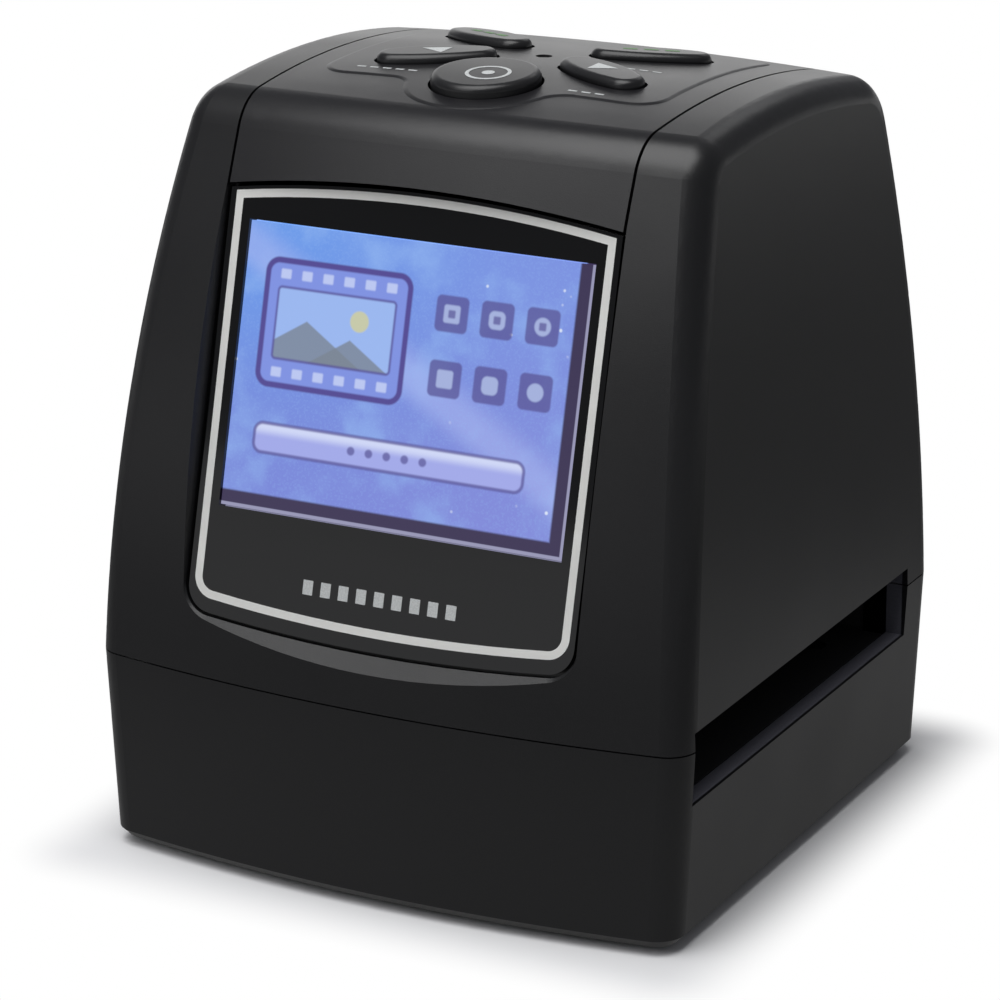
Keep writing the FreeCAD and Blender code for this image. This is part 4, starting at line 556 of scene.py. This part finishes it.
def circuit_board(name, lacquer, track):
    """Tracks run in straight lanes under a coloured lacquer, darker in the gaps between them."""
    material, tree, output = new_material(name)
    place = node(tree, "TexCoord").outputs["Object"]
    gap = (*[gap_shade * part for part in lacquer], 1)
    lanes = node(tree, "TexBrick", {"offset": lane_shift}, Vector=place, Color1=(*lacquer, 1),
                 Color2=(*track, 1), Mortar=gap, Scale=lane_scale, Mortar_Size=lane_gap).outputs["Color"]
    weave = node(tree, "TexNoise", Vector=place, Scale=weave_scale, Detail=1.0).outputs["Fac"]
    bump = node(tree, "Bump", Height=weave, Distance=weave_depth, Strength=1.0).outputs[0]
    body = node(tree, "BsdfPrincipled", Base_Color=lanes, Roughness=0.35, Normal=bump)
    tree.links.new(body.outputs[0], output.inputs["Surface"])
    return material


green_board = circuit_board("green_lacquer", (0.010, 0.085, 0.030), (0.016, 0.125, 0.045))
for name in ("button_board", "sensor_board", "main_board"):
    dress(name, green_board)
dress("led_board", circuit_board("white_lacquer", (0.70, 0.70, 0.68), (0.76, 0.76, 0.74)))


# What the boards carry: stamped steel sockets and switch cans, black mouldings and ivory nylon sockets,
# all soldered on, and the nylon plungers that stand in the switches under the caps.
for name in ("tact_switches", "card_socket", "usb_socket"):
    dress(name, stamped_steel)
dress("av_jack", satin_plastic("jack_moulding", (0.02, 0.02, 0.02)))
dress("main_chips", satin_plastic("chip_epoxy", (0.014, 0.014, 0.015), roughness=0.5))
dress("board_sockets", satin_plastic("socket_nylon", (0.62, 0.58, 0.46), roughness=0.5))
plunger_nylon = satin_plastic("plunger_nylon", (0.05, 0.05, 0.05), roughness=0.5)
for button in buttons:
    dress(button + "_plunger", plunger_nylon)


# Screws: self-tapping, of plated steel and bright in the boards and the case, and blackened in the film's
# guides.
for name in ("board_screws", "case_screws"):
    dress(name, stamped_steel)
dress("guide_screws", polished("blackened_steel", (0.05, 0.05, 0.052), 0.4, metal=1.0))


# Leads: amber polyimide ribbons with copper under the film, and a red insulated lead to the lamps.
# Each has a small socket at both ends.
ribbon_film = polished("ribbon_film", (0.42, 0.17, 0.03), 0.25)
for name in ("display_flex", "sensor_flex", "button_flex"):
    dress(name, ribbon_film)
dress("light_lead", satin_plastic("lead_insulation", (0.42, 0.02, 0.015), roughness=0.4))


# Printed marks on the top: pad-printed ink, one film thick, on the domed caps and the console round them.
# They are plain signs: a triangle on each side cap, a ring and a dot on the scan cap, dashes elsewhere.
ink_lift = 0.02
ink_film = 0.015
same_point = 0.001
case_top = 102.0
case_crown = 1.45 / 44 ** 2
case_bow = 1 / 310
case_middle = 0.5
console_rise = 0.16
petal_rise = 1.3
scan_rise = 1.7
bar_steps = (7, 4)
ring_steps = (4, 49)
white_ink = satin_plastic("white_ink", (0.62, 0.64, 0.64), roughness=0.5, depth=0.002)
green_ink = satin_plastic("green_ink", (0.11, 0.27, 0.085), roughness=0.5, depth=0.002)


def printed(name, patches, ink, body):
    """One ink film of several patches: grids of points in millimetres, joined where their points meet."""
    points = []
    faces = []
    for patch in patches:
        rows, columns = patch.shape[:2]
        grid = len(points) + np.arange(rows * columns).reshape(rows, columns)
        corners = (grid[:-1, :-1], grid[1:, :-1], grid[1:, 1:], grid[:-1, 1:])
        faces += np.stack(corners, -1).reshape(-1, 4).tolist()
        points += (patch.reshape(-1, 3) * mm).tolist()
    mesh = bpy.data.meshes.new(name)
    mesh.from_pydata(points, [], faces)
    mesh.materials.append(ink)
    film = bpy.data.objects.new(name, mesh)
    bpy.context.scene.collection.objects.link(film)
    film.modifiers.new("joined", "WELD").merge_threshold = same_point * mm
    thickness = film.modifiers.new("thickness", "SOLIDIFY")
    thickness.thickness = ink_film * mm
    thickness.offset = 0
    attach(film, body)


def on_top(across, along, rise):
    """The domed top: its crown, less one parabola across and a flatter one along, plus a piece's rise."""
    height = case_top + rise + ink_lift - case_crown * across ** 2 - case_bow * (along - case_middle) ** 2
    return np.stack([across, along, height], -1)


def bar_patch(middle, length, width, turn, rise):
    """A rectangle of points in plan, turned about its middle by degrees and laid on the dome."""
    lengthwise, sideways = np.meshgrid(np.linspace(-length / 2, length / 2, bar_steps[0]),
                                       np.linspace(-width / 2, width / 2, bar_steps[1]), indexing="ij")
    cosine = math.cos(math.radians(turn))
    sine = math.sin(math.radians(turn))
    return on_top(middle[0] + lengthwise * cosine - sideways * sine,
                  middle[1] + lengthwise * sine + sideways * cosine, rise)


def ring_patch(middle, inner, outer, rise):
    """Circles of growing radius in plan, laid on the dome; an inner radius of zero makes a disc."""
    radius, turn = np.meshgrid(np.linspace(inner, outer, ring_steps[0]),
                               np.linspace(0, 2 * math.pi, ring_steps[1]), indexing="ij")
    return on_top(middle[0] + radius * np.cos(turn), middle[1] + radius * np.sin(turn), rise)


# Triangles that point outward on the two side caps: their width shrinks in step with the reach
arrow_base = 10.7
arrow_tip = 14.3
arrow_along = 0.0
arrow_half = 1.6
arrow_steps = 9
for button, hand in (("mirror", -1), ("flip", 1)):
    reach, wide = np.meshgrid(np.linspace(0, 1, arrow_steps), np.linspace(-hand, hand, arrow_steps),
                              indexing="ij")
    patch = on_top(hand * (arrow_base + (arrow_tip - arrow_base) * reach),
                   arrow_along + arrow_half * wide * (1 - reach), petal_rise)
    printed(button + "_arrow", [patch], white_ink, button)

# Ring and dot on the scan cap, and three green dashes on each rear cap
scan_middle = (0.8, -10.0)
ring_radii = (2.5, 3.0)
dot_radius = 0.85
ring = ring_patch(scan_middle, *ring_radii, scan_rise)
dot = ring_patch(scan_middle, 0, dot_radius, scan_rise)
printed("scan_ring", [ring, dot], white_ink, "scan")
rear_middle = (12.05, 14.4)
rear_turn = 26
rear_step = (2.5, 1.2)
rear_dash = (1.9, 0.8)
for button, hand in (("power", -1), ("menu", 1)):
    places = [(hand * rear_middle[0] + rear_step[0] * number, rear_middle[1] + rear_step[1] * hand * number)
              for number in (-1, 0, 1)]
    dashes = [bar_patch(middle, *rear_dash, hand * rear_turn, petal_rise) for middle in places]
    printed(button + "_dashes", dashes, green_ink, button)

# Rows of white dashes on the console by three caps
dash = (1.25, 0.42)
dash_step = 1.9
for name, middle, count in (("mirror_row", (-15.5, -7.4), 5), ("flip_row", (14.0, -8.5), 3),
                            ("menu_row", (14.4, 5.4), 4)):
    places = [(middle[0] + dash_step * (number - (count - 1) / 2), middle[1]) for number in range(count)]
    printed(name, [bar_patch(place, *dash, 0, console_rise) for place in places], white_ink, "housing")


# Printed strip on the screen plate, under the screen: a row of rounded squares like a film's perforations,
# in white ink on the face of the acrylic.
strip_up = 41.5
strip_count = 9
strip_step = 2.6
hole_half = (0.72, 0.95)
hole_corner = 0.35
face_lift = 0.02
tile_steps = (4, 33)


def plate_tile(middle):
    """Ellipses growing from a middle and clipped at the tile's four sides, laid on the leaning plate."""
    reach, turn = np.meshgrid(np.linspace(0, 1, tile_steps[0]), np.linspace(0, 2 * math.pi, tile_steps[1]),
                              indexing="ij")
    wide = np.clip((hole_half[0] + hole_corner) * np.cos(turn), -hole_half[0], hole_half[0])
    high = np.clip((hole_half[1] + hole_corner) * np.sin(turn), -hole_half[1], hole_half[1])
    climb = middle[1] + reach * high
    foot_along, foot_height = (part / mm for part in plate_foot[1:])
    along = foot_along - face_lift * math.cos(plate_tilt) + climb * math.sin(plate_tilt)
    height = foot_height + face_lift * math.sin(plate_tilt) + climb * math.cos(plate_tilt)
    return np.stack([middle[0] + reach * wide, along, height], -1)


places = [(strip_step * (number - (strip_count - 1) / 2), strip_up) for number in range(strip_count)]
printed("plate_strip", [plate_tile(place) for place in places], white_ink, "housing")
